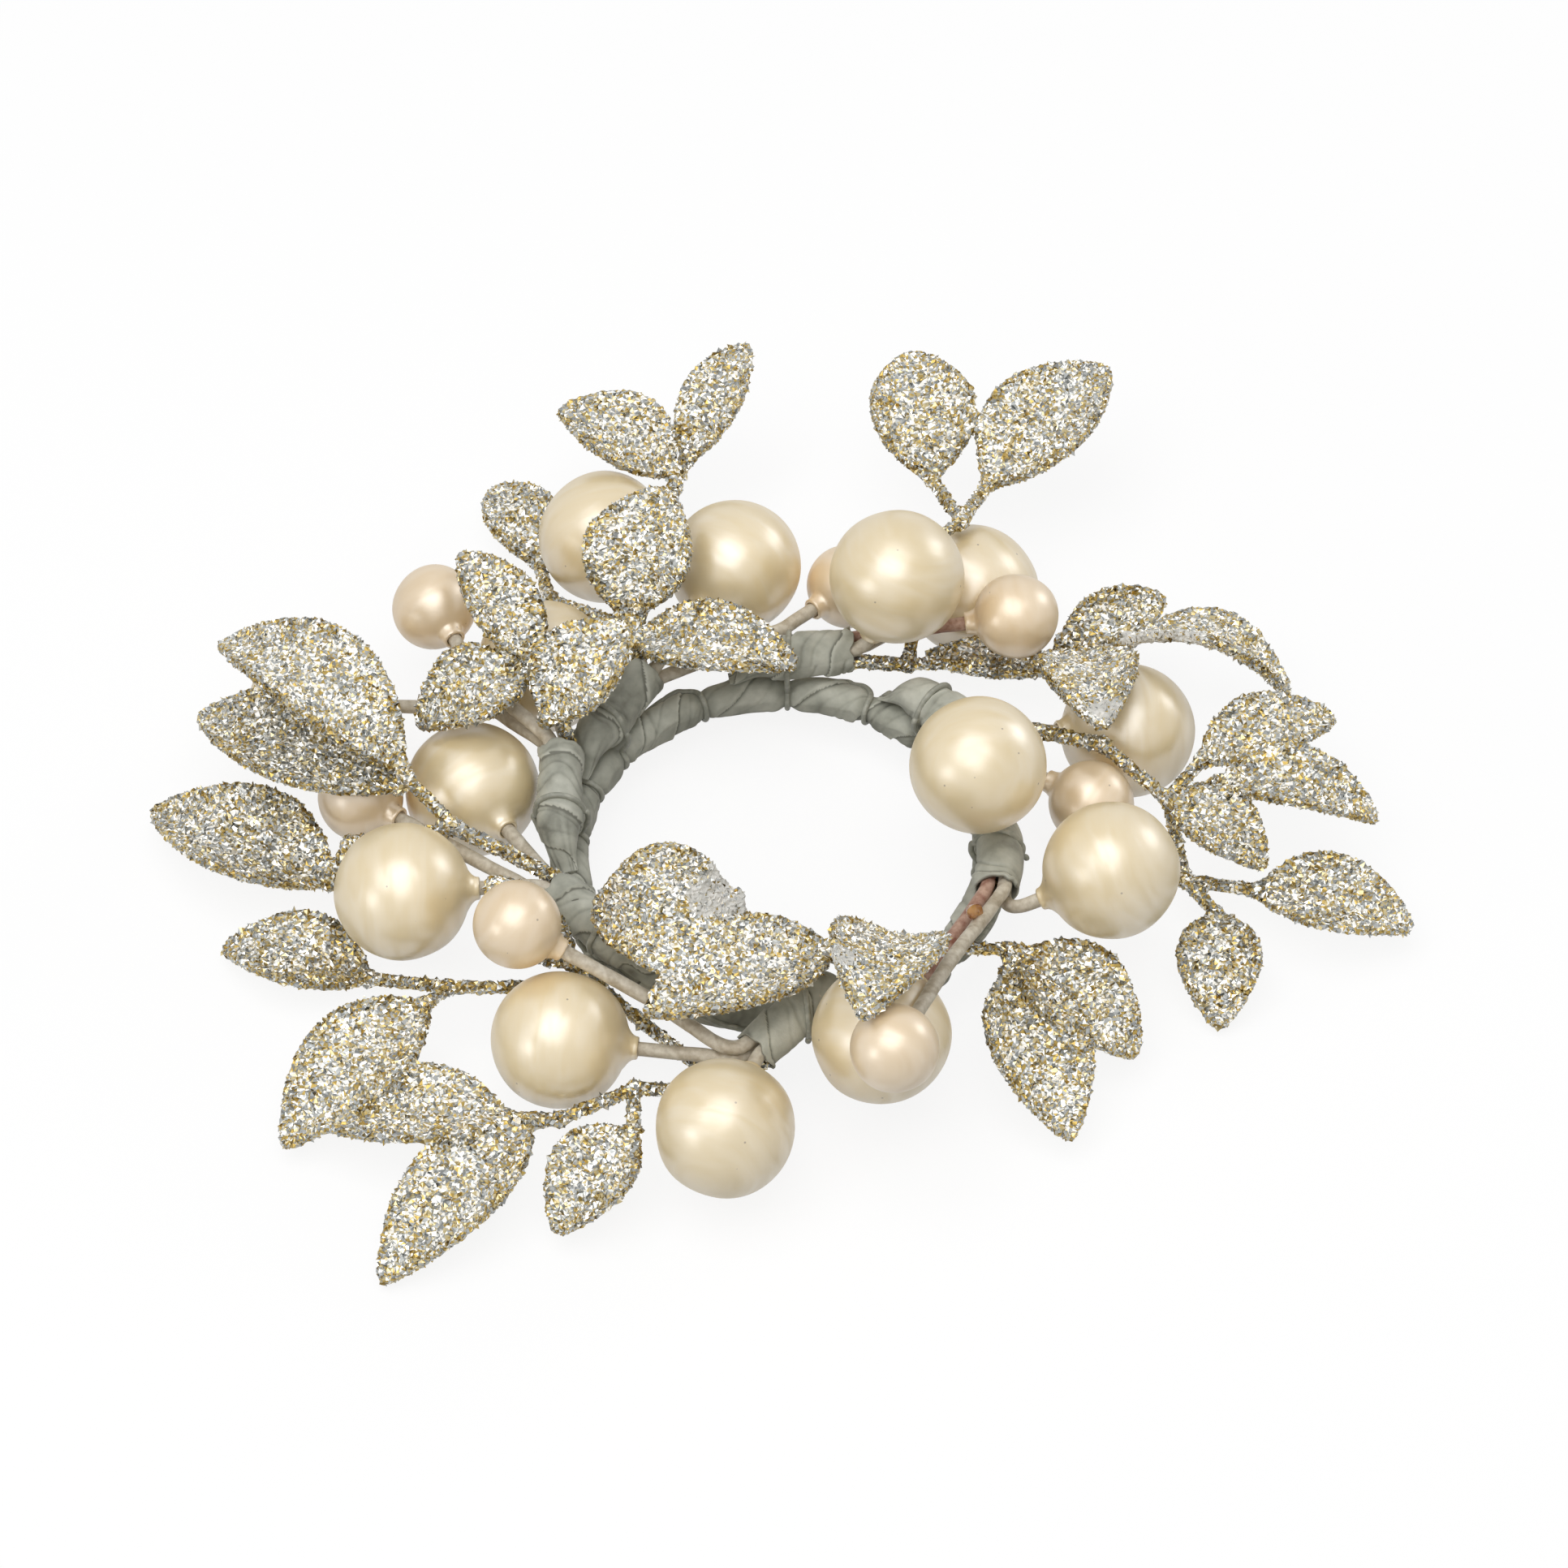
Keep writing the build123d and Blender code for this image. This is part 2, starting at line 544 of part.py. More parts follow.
def save(node, shape):
    export_step(shape, os.path.join("parts", node + ".step"))


def main():
    os.makedirs("parts", exist_ok=True)
    save("hoop_wire", hoop_wire())
    save("hoop_tape", hoop_tape())
    save("binding_wire", binding_wire())
    for pick in PICKS:
        seat = Seat(pick)
        save(pick.name + "_tape", pick_tape(seat))
        for pearl, lane in zip(pick.pearls, pick.lanes):
            body, stem = pearl_and_stem(seat, pearl, lane)
            save(pick.name + "_" + pearl.name, body)
            save(pick.name + "_" + pearl.name + "_stem", stem)
        save(pick.name + "_leaf_spray", leaf_spray(seat, pick, pick.lanes[-1]))


if __name__ == "__main__":
    main()
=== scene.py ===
import heapq
import json
import logging
import math
from abc import ABC, abstractmethod
from dataclasses import dataclass
from enum import Enum

import bpy
import numpy as np
from mathutils import Matrix, Vector
from mathutils.bvhtree import BVHTree

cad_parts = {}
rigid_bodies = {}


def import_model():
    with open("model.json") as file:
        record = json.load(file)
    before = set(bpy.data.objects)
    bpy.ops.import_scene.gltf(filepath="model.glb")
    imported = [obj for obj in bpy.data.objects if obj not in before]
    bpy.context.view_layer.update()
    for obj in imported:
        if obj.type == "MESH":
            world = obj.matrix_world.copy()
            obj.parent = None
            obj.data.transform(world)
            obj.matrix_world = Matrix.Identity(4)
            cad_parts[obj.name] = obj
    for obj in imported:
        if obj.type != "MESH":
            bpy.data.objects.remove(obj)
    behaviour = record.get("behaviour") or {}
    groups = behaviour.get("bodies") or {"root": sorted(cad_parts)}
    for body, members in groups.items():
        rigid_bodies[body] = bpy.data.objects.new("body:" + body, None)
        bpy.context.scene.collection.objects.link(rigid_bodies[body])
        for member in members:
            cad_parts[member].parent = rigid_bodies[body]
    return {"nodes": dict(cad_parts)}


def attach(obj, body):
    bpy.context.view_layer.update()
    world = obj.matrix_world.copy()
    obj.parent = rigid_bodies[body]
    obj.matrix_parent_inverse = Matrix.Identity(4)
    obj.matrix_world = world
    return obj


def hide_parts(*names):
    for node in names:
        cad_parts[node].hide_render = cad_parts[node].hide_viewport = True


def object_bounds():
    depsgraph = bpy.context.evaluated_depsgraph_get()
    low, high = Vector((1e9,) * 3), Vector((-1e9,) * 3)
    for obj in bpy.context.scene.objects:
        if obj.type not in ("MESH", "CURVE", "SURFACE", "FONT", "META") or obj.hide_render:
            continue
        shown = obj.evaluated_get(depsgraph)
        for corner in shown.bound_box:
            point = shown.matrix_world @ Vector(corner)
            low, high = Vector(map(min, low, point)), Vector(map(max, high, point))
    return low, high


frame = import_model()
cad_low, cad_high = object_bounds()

# A candle ring: pearls and glitter leaves on paper-covered stems, bound to a taped hoop.
# Shapes are worked out in millimetres from the CAD nodes and written in metres.
MM = 0.001
FULL_TURN = 2 * math.pi
ROOT = "root"
PICKS = ("right", "front", "front_left", "left", "back_left", "back", "back_right")
FIRST_SEED = 100
SEED_STEP = 20
PEARLS = ("large_pearl_a", "large_pearl_b", "small_pearl")
# The pearl of a pick whose stem is stained.
STAINED_STEMS = {"right": "large_pearl_b", "back": "small_pearl"}
# Middle and radius in millimetres of the places where the leaves have lost their glitter.
BARE_PATCHES = {
    "right": ((-3.4, -8.6, 7.1, 1.7), (-2.5, -8.7, 5.9, 1.1), (3.3, -16.0, 10.9, 0.8)),
    "back": ((19.8, 12.6, 3.4, 1.2), (20.4, 12.1, 4.3, 1.2), (22.3, 11.2, 5.4, 1.1), (17.6, 4.5, 6.6, 0.8)),
}
# The height in a lap of tape that lies on the CAD surface, from 0 under the lap to 1 at its edge.
LAP_LEVEL = 0.75
WHITE = "#ffffff"
log = logging.getLogger("candle_ring")


class Slot(Enum):
    """Material slots of the record. Pearls and strands hold one, but their materials come from the finishes.
    """
    CREPE_TAPE = "crepe_tape"
    BINDING_WIRE = "binding_wire"
    LARGE_PEARL = "large_pearl"
    SMALL_PEARL = "small_pearl"
    PAPER_STEM = "paper_stem"
    GLITTER_LEAF = "glitter_leaf"


class Look(Enum):
    """Finishes of the ring."""
    TAPE = "tape"
    WIRE = "wire"
    STEEL = "steel"
    STEM = "stem"
    STAINED_STEM = "stained stem"
    GLITTER = "glitter"
    FROSTED = "frosted"
    GLUE = "glue"
    LARGE_PEARL = "large pearl"
    SMALL_PEARL = "small pearl"


# Small helpers

def linear(code: str) -> tuple[float, float, float, float]:
    """Turns an sRGB hex colour to linear.

    Args:
        code: Colour as "#rrggbb".

    Returns:
        Linear red, green and blue, and an alpha of 1.
    """
    shares = [int(code[place:place + 2], 16) / 255 for place in (1, 3, 5)]
    bent = [s / 12.92 if s <= 0.04045 else ((s + 0.055) / 1.055) ** 2.4 for s in shares]
    return bent[0], bent[1], bent[2], 1.0


def add_node(tree: bpy.types.NodeTree, kind: str, settings: dict | None = None, inputs: dict | None = None,
             links: dict | None = None, stops: list[tuple[float, str]] | None = None) -> bpy.types.Node:
    """Adds a shader node with its settings and links.

    Args:
        tree: Node tree that takes the node.
        kind: Blender's name for the kind of node.
        settings: Values for the node's own properties.
        inputs: Values for its input sockets.
        links: Sockets that feed its input sockets.
        stops: Places and hex colours of a colour ramp.

    Returns:
        The new node.
    """
    node = tree.nodes.new(kind)
    for name, value in (settings or {}).items():
        setattr(node, name, value)
    for name, value in (inputs or {}).items():
        node.inputs[name].default_value = value
    for name, source in (links or {}).items():
        tree.links.new(source, node.inputs[name])
    for index, (place, code) in enumerate(stops or []):
        elements = node.color_ramp.elements
        element = elements[index] if index < len(elements) else elements.new(place)
        element.position = place
        element.color = linear(code)
    return node


def mottled(tree: bpy.types.NodeTree, patch_mm: float, stops: list[tuple[float, str]], detail: float = 2.0,
            with_tone_and_painted_shade: bool = False) -> tuple[bpy.types.NodeSocket, bpy.types.NodeSocket]:
    """Adds a colour that wanders between stops in soft patches.

    Args:
        tree: Node tree of the finish.
        patch_mm: Width of a patch in millimetres.
        stops: Places and hex colours of the colour ramp.
        detail: Number of finer rounds of patches.
        with_tone_and_painted_shade: Whether the mesh's values of random tone and painted shade are added to
            the patches.

    Returns:
        The sockets of the colour and of the patches.
    """
    place = add_node(tree, "ShaderNodeTexCoord")
    patch = add_node(tree, "ShaderNodeTexNoise", inputs={"Scale": 1 / (patch_mm * MM), "Detail": detail},
                     links={"Vector": place.outputs["Object"]})
    patches = patch.outputs["Fac"]
    value = patches
    if with_tone_and_painted_shade:
        # The mesh's values add a random tone and painted shade: darker under laps, along creases and pleats,
        # where the binding wire bites and inside a tape's mouth.
        tone_and_painted_shade = add_node(tree, "ShaderNodeAttribute", {"attribute_name": "tone_and_painted_shade"})
        mixed = add_node(tree, "ShaderNodeMath", {"operation": "ADD"},
                         links={0: patches, 1: tone_and_painted_shade.outputs["Fac"]})
        value = mixed.outputs[0]
    colour = add_node(tree, "ShaderNodeValToRGB", links={"Fac": value}, stops=stops)
    return colour.outputs["Color"], patches


def shows_background(tree: bpy.types.NodeTree) -> bpy.types.NodeSocket:
    """Tells the rays that show the background from those that only light the ring.

    Args:
        tree: Node tree of the floor or the world.

    Returns:
        A socket that is 1 for rays seen straight, mirrored or let through.
    """
    path = add_node(tree, "ShaderNodeLightPath")
    some = add_node(tree, "ShaderNodeMath", {"operation": "MAXIMUM"},
                    links={0: path.outputs["Is Camera Ray"], 1: path.outputs["Is Glossy Ray"]})
    every = add_node(tree, "ShaderNodeMath", {"operation": "MAXIMUM"},
                     links={0: some.outputs[0], 1: path.outputs["Is Transmission Ray"]})
    return every.outputs[0]


def cad_arrays(node: str) -> tuple[np.ndarray, list[tuple[int, ...]]]:
    """Reads a CAD node.

    Args:
        node: Name of the node.

    Returns:
        Its points in millimetres and its faces.
    """
    mesh = frame["nodes"][node].data
    points = np.empty(len(mesh.vertices) * 3)
    mesh.vertices.foreach_get("co", points)
    return points.reshape(-1, 3) / MM, [tuple(face.vertices) for face in mesh.polygons]


def even_skin(points: np.ndarray, faces: list[tuple[int, ...]],
              spacing: float) -> tuple[np.ndarray, np.ndarray]:
    """Covers a closed shape with even quads.

    Args:
        points: Points of the shape in millimetres.
        faces: Faces of the shape.
        spacing: Width of a quad in millimetres.

    Returns:
        Points in millimetres and quads of the new skin.
    """
    mesh = bpy.data.meshes.new("skin_blank")
    mesh.from_pydata(points.tolist(), [], faces)
    blank = bpy.data.objects.new("skin_blank", mesh)
    bpy.context.scene.collection.objects.link(blank)
    remesh = blank.modifiers.new("even_quads", "REMESH")
    remesh.mode = "VOXEL"
    remesh.voxel_size = spacing
    skin = blank.evaluated_get(bpy.context.evaluated_depsgraph_get()).to_mesh()
    made = np.empty(len(skin.vertices) * 3)
    skin.vertices.foreach_get("co", made)
    quads = np.empty(len(skin.polygons) * 4, int)
    skin.polygons.foreach_get("vertices", quads)
    bpy.data.objects.remove(blank)
    bpy.data.meshes.remove(mesh)
    return made.reshape(-1, 3), quads.reshape(-1, 4)


def edges_of(faces: np.ndarray) -> np.ndarray:
    """Lists each edge of some faces once, as pairs of points."""
    pairs = np.concatenate([faces, np.roll(faces, -1, axis=1)]).reshape(2, -1).T
    return np.unique(np.sort(pairs, axis=1), axis=0)


def softened(points: np.ndarray, faces: np.ndarray, rounds: int) -> np.ndarray:
    """Draws each point towards its neighbours.

    Args:
        points: Points of a mesh.
        faces: Its faces.
        rounds: How often the points are drawn.

    Returns:
        The softened points.
    """
    edges = edges_of(faces)
    count = np.bincount(edges.ravel(), minlength=len(points))[:, None]
    for _ in range(rounds):
        total = np.zeros_like(points)
        np.add.at(total, edges[:, 0], points[edges[:, 1]])
        np.add.at(total, edges[:, 1], points[edges[:, 0]])
        points = (points + total / count) / 2
    return points


def eased(values: np.ndarray, rounds: int) -> np.ndarray:
    """Evens out a row of values or points, with both ends held.

    Args:
        values: The values or points, in order.
        rounds: How often each is averaged with its neighbours.

    Returns:
        The eased row.
    """
    values = values.copy()
    for _ in range(rounds):
        values[1:-1] = (values[:-2] + 2 * values[1:-1] + values[2:]) / 4
    return values


def unit(vectors: np.ndarray) -> np.ndarray:
    """Brings each vector to a length of 1."""
    return vectors / np.linalg.norm(vectors, axis=1)[:, None]


def even_angles(count: int) -> np.ndarray:
    """Spreads angles evenly over a full turn, in radians."""
    return np.linspace(0, FULL_TURN, count, endpoint=False)


def outward(points: np.ndarray, faces: np.ndarray) -> np.ndarray:
    """Finds the outward direction at each point of a closed mesh.

    Args:
        points: Points of the mesh.
        faces: Its faces, all with the same number of corners.

    Returns:
        One unit vector per point.
    """
    across = np.cross(points[faces[:, 2]] - points[faces[:, 0]], points[faces[:, -1]] - points[faces[:, 1]])
    normals = np.zeros_like(points)
    for corner in range(faces.shape[1]):
        np.add.at(normals, faces[:, corner], across)
    return normals / np.maximum(np.linalg.norm(normals, axis=1), 1e-12)[:, None]


def tube_faces(rings: int, around: int) -> list[list[int]]:
    """Joins rings of points, and one point beyond each end, to a closed tube.

    Args:
        rings: Number of rings; their points come first, then the points of the first and the last end.
        around: Number of points in a ring.

    Returns:
        Quads between the rings, then a fan of triangles at each end.
    """
    grid = np.arange(rings * around).reshape(rings, around)
    ahead = np.roll(grid, -1, axis=1)
    faces = np.stack([grid[:-1], ahead[:-1], ahead[1:], grid[1:]], axis=-1).reshape(-1, 4).tolist()
    first_end = rings * around
    faces += [[first_end, int(b), int(a)] for a, b in zip(grid[0], ahead[0])]
    faces += [[first_end + 1, int(a), int(b)] for a, b in zip(grid[-1], ahead[-1])]
    return faces


@dataclass
class Unevenness:
    """Smooth seeded unevenness, made of crossing waves."""
    seed: int
    wave_length: float
    waves: int = 16
    shortest: float = 0.6
    longest: float = 1.7

    def at(self, points: np.ndarray) -> np.ndarray:
        """Gives the unevenness at some points.

        Args:
            points: Points in millimetres.

        Returns:
            A height of about -2 to 2 for each point.
        """
        random = np.random.default_rng(self.seed)
        ways = unit(random.normal(size=(self.waves, points.shape[1])))
        lengths = self.wave_length * random.uniform(self.shortest, self.longest, self.waves)
        phases = random.uniform(0, FULL_TURN, self.waves)
        turns = points @ (ways * (FULL_TURN / lengths)[:, None]).T + phases
        return np.sin(turns).sum(axis=1) * math.sqrt(2 / self.waves)


def add_piece(name: str, points: np.ndarray, faces: list[list[int]], materials: list[bpy.types.Material],
              nodes: list[str], smooth: bool = True) -> bpy.types.Object:
    """Adds a piece of the ring.

    Args:
        name: Name of the piece.
        points: Its points in millimetres, in the frame of the ring.
        faces: Its faces.
        materials: Its materials.
        nodes: CAD nodes that it stands for.
        smooth: Whether its faces are shaded smooth.

    Returns:
        The new object.
    """
    mesh = bpy.data.meshes.new(name)
    mesh.from_pydata((np.asarray(points) * MM).tolist(), [], faces)
    mesh.polygons.foreach_set("use_smooth", [smooth] * len(mesh.polygons))
    for material in materials:
        mesh.materials.append(material)
    piece = bpy.data.objects.new(name, mesh)
    bpy.context.scene.collection.objects.link(piece)
    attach(piece, ROOT)
    if nodes:
        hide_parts(*nodes)
    log.info("%s: %d points", name, len(mesh.vertices))
    return piece


def add_value(piece: bpy.types.Object, name: str, values: np.ndarray, domain: str = "POINT") -> None:
    """Stores one number per point or face for the finish to read."""
    layer = piece.data.attributes.new(name, "FLOAT", domain)
    layer.data.foreach_set("value", np.asarray(values, np.float32))


# Finishes

class Finish(ABC):
    """A finish, built as one material."""
    name: str

    @abstractmethod
    def shader(self, tree: bpy.types.NodeTree) -> bpy.types.NodeSocket:
        """Builds the shader.

        Args:
            tree: Node tree of the material.

        Returns:
            The shader's socket.
        """

    def make(self) -> bpy.types.Material:
        """Builds the material.

        Returns:
            The material, with the shader at its output.
        """
        material = bpy.data.materials.new(self.name)
        material.use_nodes = True
        tree = material.node_tree
        tree.nodes.clear()
        add_node(tree, "ShaderNodeOutputMaterial", links={"Surface": self.shader(tree)})
        return material


@dataclass(frozen=True)
class CrepeTape(Finish):
    """Waxed crepe paper tape: matt, grey-green, finely wrinkled, paler where it is stretched over an edge.
    Its mottling also carries painted shade from the mesh, under laps and in creases.
    """
    name: str = "waxed_crepe_paper_tape"
    dark: str = "#7c7c71"
    middle: str = "#b2b3a6"
    pale: str = "#dadacd"
    blotch_mm: float = 1.6
    wrinkle_mm: float = 0.22
    wrinkle_depth_mm: float = 0.06

    def shader(self, tree: bpy.types.NodeTree) -> bpy.types.NodeSocket:
        """Builds the shader.

        Args:
            tree: Node tree of the material.

        Returns:
            The shader's socket.
        """
        stops = [(0.2, self.dark), (0.78, self.pale), (0.46, self.middle)]
        colour, _ = mottled(tree, self.blotch_mm, stops, detail=4.0, with_tone_and_painted_shade=True)
        place = add_node(tree, "ShaderNodeTexCoord")
        wrinkle = add_node(tree, "ShaderNodeTexNoise",
                           inputs={"Scale": 1 / (self.wrinkle_mm * MM), "Detail": 3.0, "Roughness": 0.6},
                           links={"Vector": place.outputs["Object"]})
        bump = add_node(tree, "ShaderNodeBump",
                        inputs={"Strength": 0.35, "Distance": self.wrinkle_depth_mm * MM},
                        links={"Height": wrinkle.outputs["Fac"]})
        paper = add_node(tree, "ShaderNodeBsdfPrincipled", inputs={"Roughness": 0.72, "Sheen Weight": 0.15},
                         links={"Base Color": colour, "Normal": bump.outputs["Normal"]})
        return paper.outputs["BSDF"]


@dataclass(frozen=True)
class PaintedWire(Finish):
    """Thin annealed wire with a coat of grey-green paint: a dull gloss with small rubs."""
    name: str = "painted_annealed_wire"
    paint: str = "#9c9d91"
    rubbed: str = "#c0c0b3"
    rub_mm: float = 0.5

    def shader(self, tree: bpy.types.NodeTree) -> bpy.types.NodeSocket:
        """Builds the shader.

        Args:
            tree: Node tree of the material.

        Returns:
            The shader's socket.
        """
        colour, _ = mottled(tree, self.rub_mm, [(0.45, self.paint), (0.7, self.rubbed)])
        wire = add_node(tree, "ShaderNodeBsdfPrincipled", inputs={"Roughness": 0.48},
                        links={"Base Color": colour})
        return wire.outputs["BSDF"]


@dataclass(frozen=True)
class BareSteel(Finish):
    """Drawn steel wire: grey metal, duller and brighter in fine marks."""
    name: str = "drawn_steel_wire"
    steel: str = "#8d8d8b"
    mark_mm: float = 0.1

    def shader(self, tree: bpy.types.NodeTree) -> bpy.types.NodeSocket:
        """Builds the shader.

        Args:
            tree: Node tree of the material.

        Returns:
            The shader's socket.
        """
        place = add_node(tree, "ShaderNodeTexCoord")
        mark = add_node(tree, "ShaderNodeTexNoise", inputs={"Scale": 1 / (self.mark_mm * MM)},
                        links={"Vector": place.outputs["Object"]})
        rough = add_node(tree, "ShaderNodeMapRange", inputs={"To Min": 0.3, "To Max": 0.45},
                         links={"Value": mark.outputs["Fac"]})
        steel = add_node(tree, "ShaderNodeBsdfPrincipled",
                         inputs={"Base Color": linear(self.steel), "Metallic": 1.0},
                         links={"Roughness": rough.outputs["Result"]})
        return steel.outputs["BSDF"]


@dataclass(frozen=True)
class PearlLacquer(Finish):
    """Mica lacquer dipped over a foam ball: a warm body under a broad silky gloss, faintly brushed."""
    name: str
    body: str
    mica: str
    speck: str = "#7a5c33"
    speck_mm: float = 1.5
    band_mm: float = 1.1
    band_stretch: tuple[float, float, float] = (0.35, 0.35, 1.4)
    band_depth_mm: float = 0.05

    def shader(self, tree: bpy.types.NodeTree) -> bpy.types.NodeSocket:
        """Builds the shader.

        Args:
            tree: Node tree of the material.

        Returns:
            The shader's socket.
        """
        place = add_node(tree, "ShaderNodeTexCoord")
        each = add_node(tree, "ShaderNodeObjectInfo")
        moved = add_node(tree, "ShaderNodeVectorMath", {"operation": "ADD"},
                         links={0: place.outputs["Object"], 1: each.outputs["Random"]})
        bands = add_node(tree, "ShaderNodeMapping", inputs={"Scale": self.band_stretch},
                         links={"Vector": moved.outputs["Vector"]})
        band = add_node(tree, "ShaderNodeTexNoise",
                        inputs={"Scale": 1 / (self.band_mm * MM), "Detail": 4.0, "Distortion": 0.5},
                        links={"Vector": bands.outputs["Vector"]})
        dots = add_node(tree, "ShaderNodeTexVoronoi", inputs={"Scale": 1 / (self.speck_mm * MM)},
                        links={"Vector": moved.outputs["Vector"]})
        dot = add_node(tree, "ShaderNodeMapRange",
                       inputs={"From Min": 0.03, "From Max": 0.05, "To Min": 0.75, "To Max": 0.0},
                       links={"Value": dots.outputs["Distance"]})
        colour = add_node(tree, "ShaderNodeMix", {"data_type": "RGBA"},
                          inputs={6: linear(self.body), 7: linear(self.speck)},
                          links={0: dot.outputs["Result"]})
        rough = add_node(tree, "ShaderNodeMapRange", inputs={"To Min": 0.28, "To Max": 0.42},
                         links={"Value": band.outputs["Fac"]})
        bump = add_node(tree, "ShaderNodeBump",
                        inputs={"Strength": 0.17, "Distance": self.band_depth_mm * MM},
                        links={"Height": band.outputs["Fac"]})
        under = add_node(tree, "ShaderNodeBsdfPrincipled",
                         inputs={"Roughness": 0.45, "Specular IOR Level": 0.25, "Coat Weight": 0.17,
                                 "Coat Roughness": 0.36},
                         links={"Base Color": colour.outputs[2], "Normal": bump.outputs["Normal"]})
        flakes = add_node(tree, "ShaderNodeBsdfPrincipled",
                          inputs={"Base Color": linear(self.mica), "Metallic": 1.0},
                          links={"Roughness": rough.outputs["Result"], "Normal": bump.outputs["Normal"]})
        share = add_node(tree, "ShaderNodeMapRange",
                         inputs={"From Min": 0.26, "From Max": 0.74, "To Min": 0.13, "To Max": 0.34},
                         links={"Value": band.outputs["Fac"]})
        nacre = add_node(tree, "ShaderNodeMixShader",
                         links={"Fac": share.outputs["Result"], 1: under.outputs[0], 2: flakes.outputs[0]})
        return nacre.outputs[0]


@dataclass(frozen=True)
class PaperStem(Finish):
    """Paper wound on thin wire: dry, pale, with a line of painted shade where one turn laps the next."""
    name: str
    pale: str
    dark: str
    fibre_mm: float = 0.35
    fibre_depth_mm: float = 0.04

    def shader(self, tree: bpy.types.NodeTree) -> bpy.types.NodeSocket:
        """Builds the shader.

        Args:
            tree: Node tree of the material.

        Returns:
            The shader's socket.
        """
        stops = [(0.22, self.dark), (0.7, self.pale)]
        colour, fibres = mottled(tree, self.fibre_mm, stops, detail=4.0, with_tone_and_painted_shade=True)
        bump = add_node(tree, "ShaderNodeBump",
                        inputs={"Strength": 0.15, "Distance": self.fibre_depth_mm * MM},
                        links={"Height": fibres})
        paper = add_node(tree, "ShaderNodeBsdfPrincipled", inputs={"Roughness": 0.48},
                         links={"Base Color": colour, "Normal": bump.outputs["Normal"]})
        return paper.outputs["BSDF"]


@dataclass(frozen=True)
class GlitterCoat(Finish):
    """Metallised film flakes glued on plastic: each flake is a small mirror, silver, champagne or gold. The
    white flakes and the dark steel and bronze ones are partly flake colour and partly painted reflection,
    bright and dark.
    """
    name: str = "metallised_film_glitter"
    white: str = "#fdfaf2"
    silver: str = "#b2b4b2"
    steel: str = "#8d8f8e"
    champagne: str = "#c5b68b"
    gold: str = "#b39955"
    bronze: str = "#816d3f"
    rose: str = "#cf6f78"
    teal: str = "#569a92"

    def shader(self, tree: bpy.types.NodeTree) -> bpy.types.NodeSocket:
        """Builds the shader.

        Args:
            tree: Node tree of the material.

        Returns:
            The shader's socket.
        """
        # White flakes are partly painted sparkle; steel and bronze flakes are partly painted reflection of
        # dark surroundings.
        stops = [(0.0, self.white), (0.999, self.teal), (0.085, self.silver), (0.35, self.steel),
                 (0.52, self.champagne), (0.7, self.gold), (0.87, self.bronze), (0.998, self.rose)]
        flake = add_node(tree, "ShaderNodeAttribute", {"attribute_name": "flake"})
        colour = add_node(tree, "ShaderNodeValToRGB", links={"Fac": flake.outputs["Fac"]}, stops=stops)
        colour.color_ramp.interpolation = "CONSTANT"
        gleam = add_node(tree, "ShaderNodeAttribute", {"attribute_name": "gleam"})
        rough = add_node(tree, "ShaderNodeMapRange", inputs={"To Min": 0.14, "To Max": 0.42},
                         links={"Value": gleam.outputs["Fac"]})
        film = add_node(tree, "ShaderNodeBsdfPrincipled", inputs={"Metallic": 0.85},
                        links={"Base Color": colour.outputs["Color"], "Roughness": rough.outputs["Result"]})
        return film.outputs["BSDF"]


@dataclass(frozen=True)
class FrostedPlastic(Finish):
    """Moulded clear plastic under dried glue, where no glitter took: whitish, dull, faintly see-through."""
    name: str = "frosted_clear_plastic"
    milky: str = "#f8f6f0"
    clear: str = "#dcdbd5"
    cloud_mm: float = 0.7

    def shader(self, tree: bpy.types.NodeTree) -> bpy.types.NodeSocket:
        """Builds the shader.

        Args:
            tree: Node tree of the material.

        Returns:
            The shader's socket.
        """
        colour, _ = mottled(tree, self.cloud_mm, [(0.35, self.clear), (0.6, self.milky)], detail=3.0)
        plastic = add_node(tree, "ShaderNodeBsdfPrincipled",
                           inputs={"Roughness": 0.42, "Transmission Weight": 0.08},
                           links={"Base Color": colour})
        return plastic.outputs["BSDF"]


@dataclass(frozen=True)
class AmberGlue(Finish):
    """Set hot-melt glue: a clear amber drop with a wet gloss."""
    name: str = "amber_hot_melt_glue"
    amber: str = "#d9a460"
    deep: str = "#a8662f"
    streak_mm: float = 0.5

    def shader(self, tree: bpy.types.NodeTree) -> bpy.types.NodeSocket:
        """Builds the shader.

        Args:
            tree: Node tree of the material.

        Returns:
            The shader's socket.
        """
        colour, _ = mottled(tree, self.streak_mm, [(0.35, self.deep), (0.62, self.amber)])
        glue = add_node(tree, "ShaderNodeBsdfPrincipled",
                        inputs={"Roughness": 0.18, "Transmission Weight": 0.35},
                        links={"Base Color": colour})
        return glue.outputs["BSDF"]


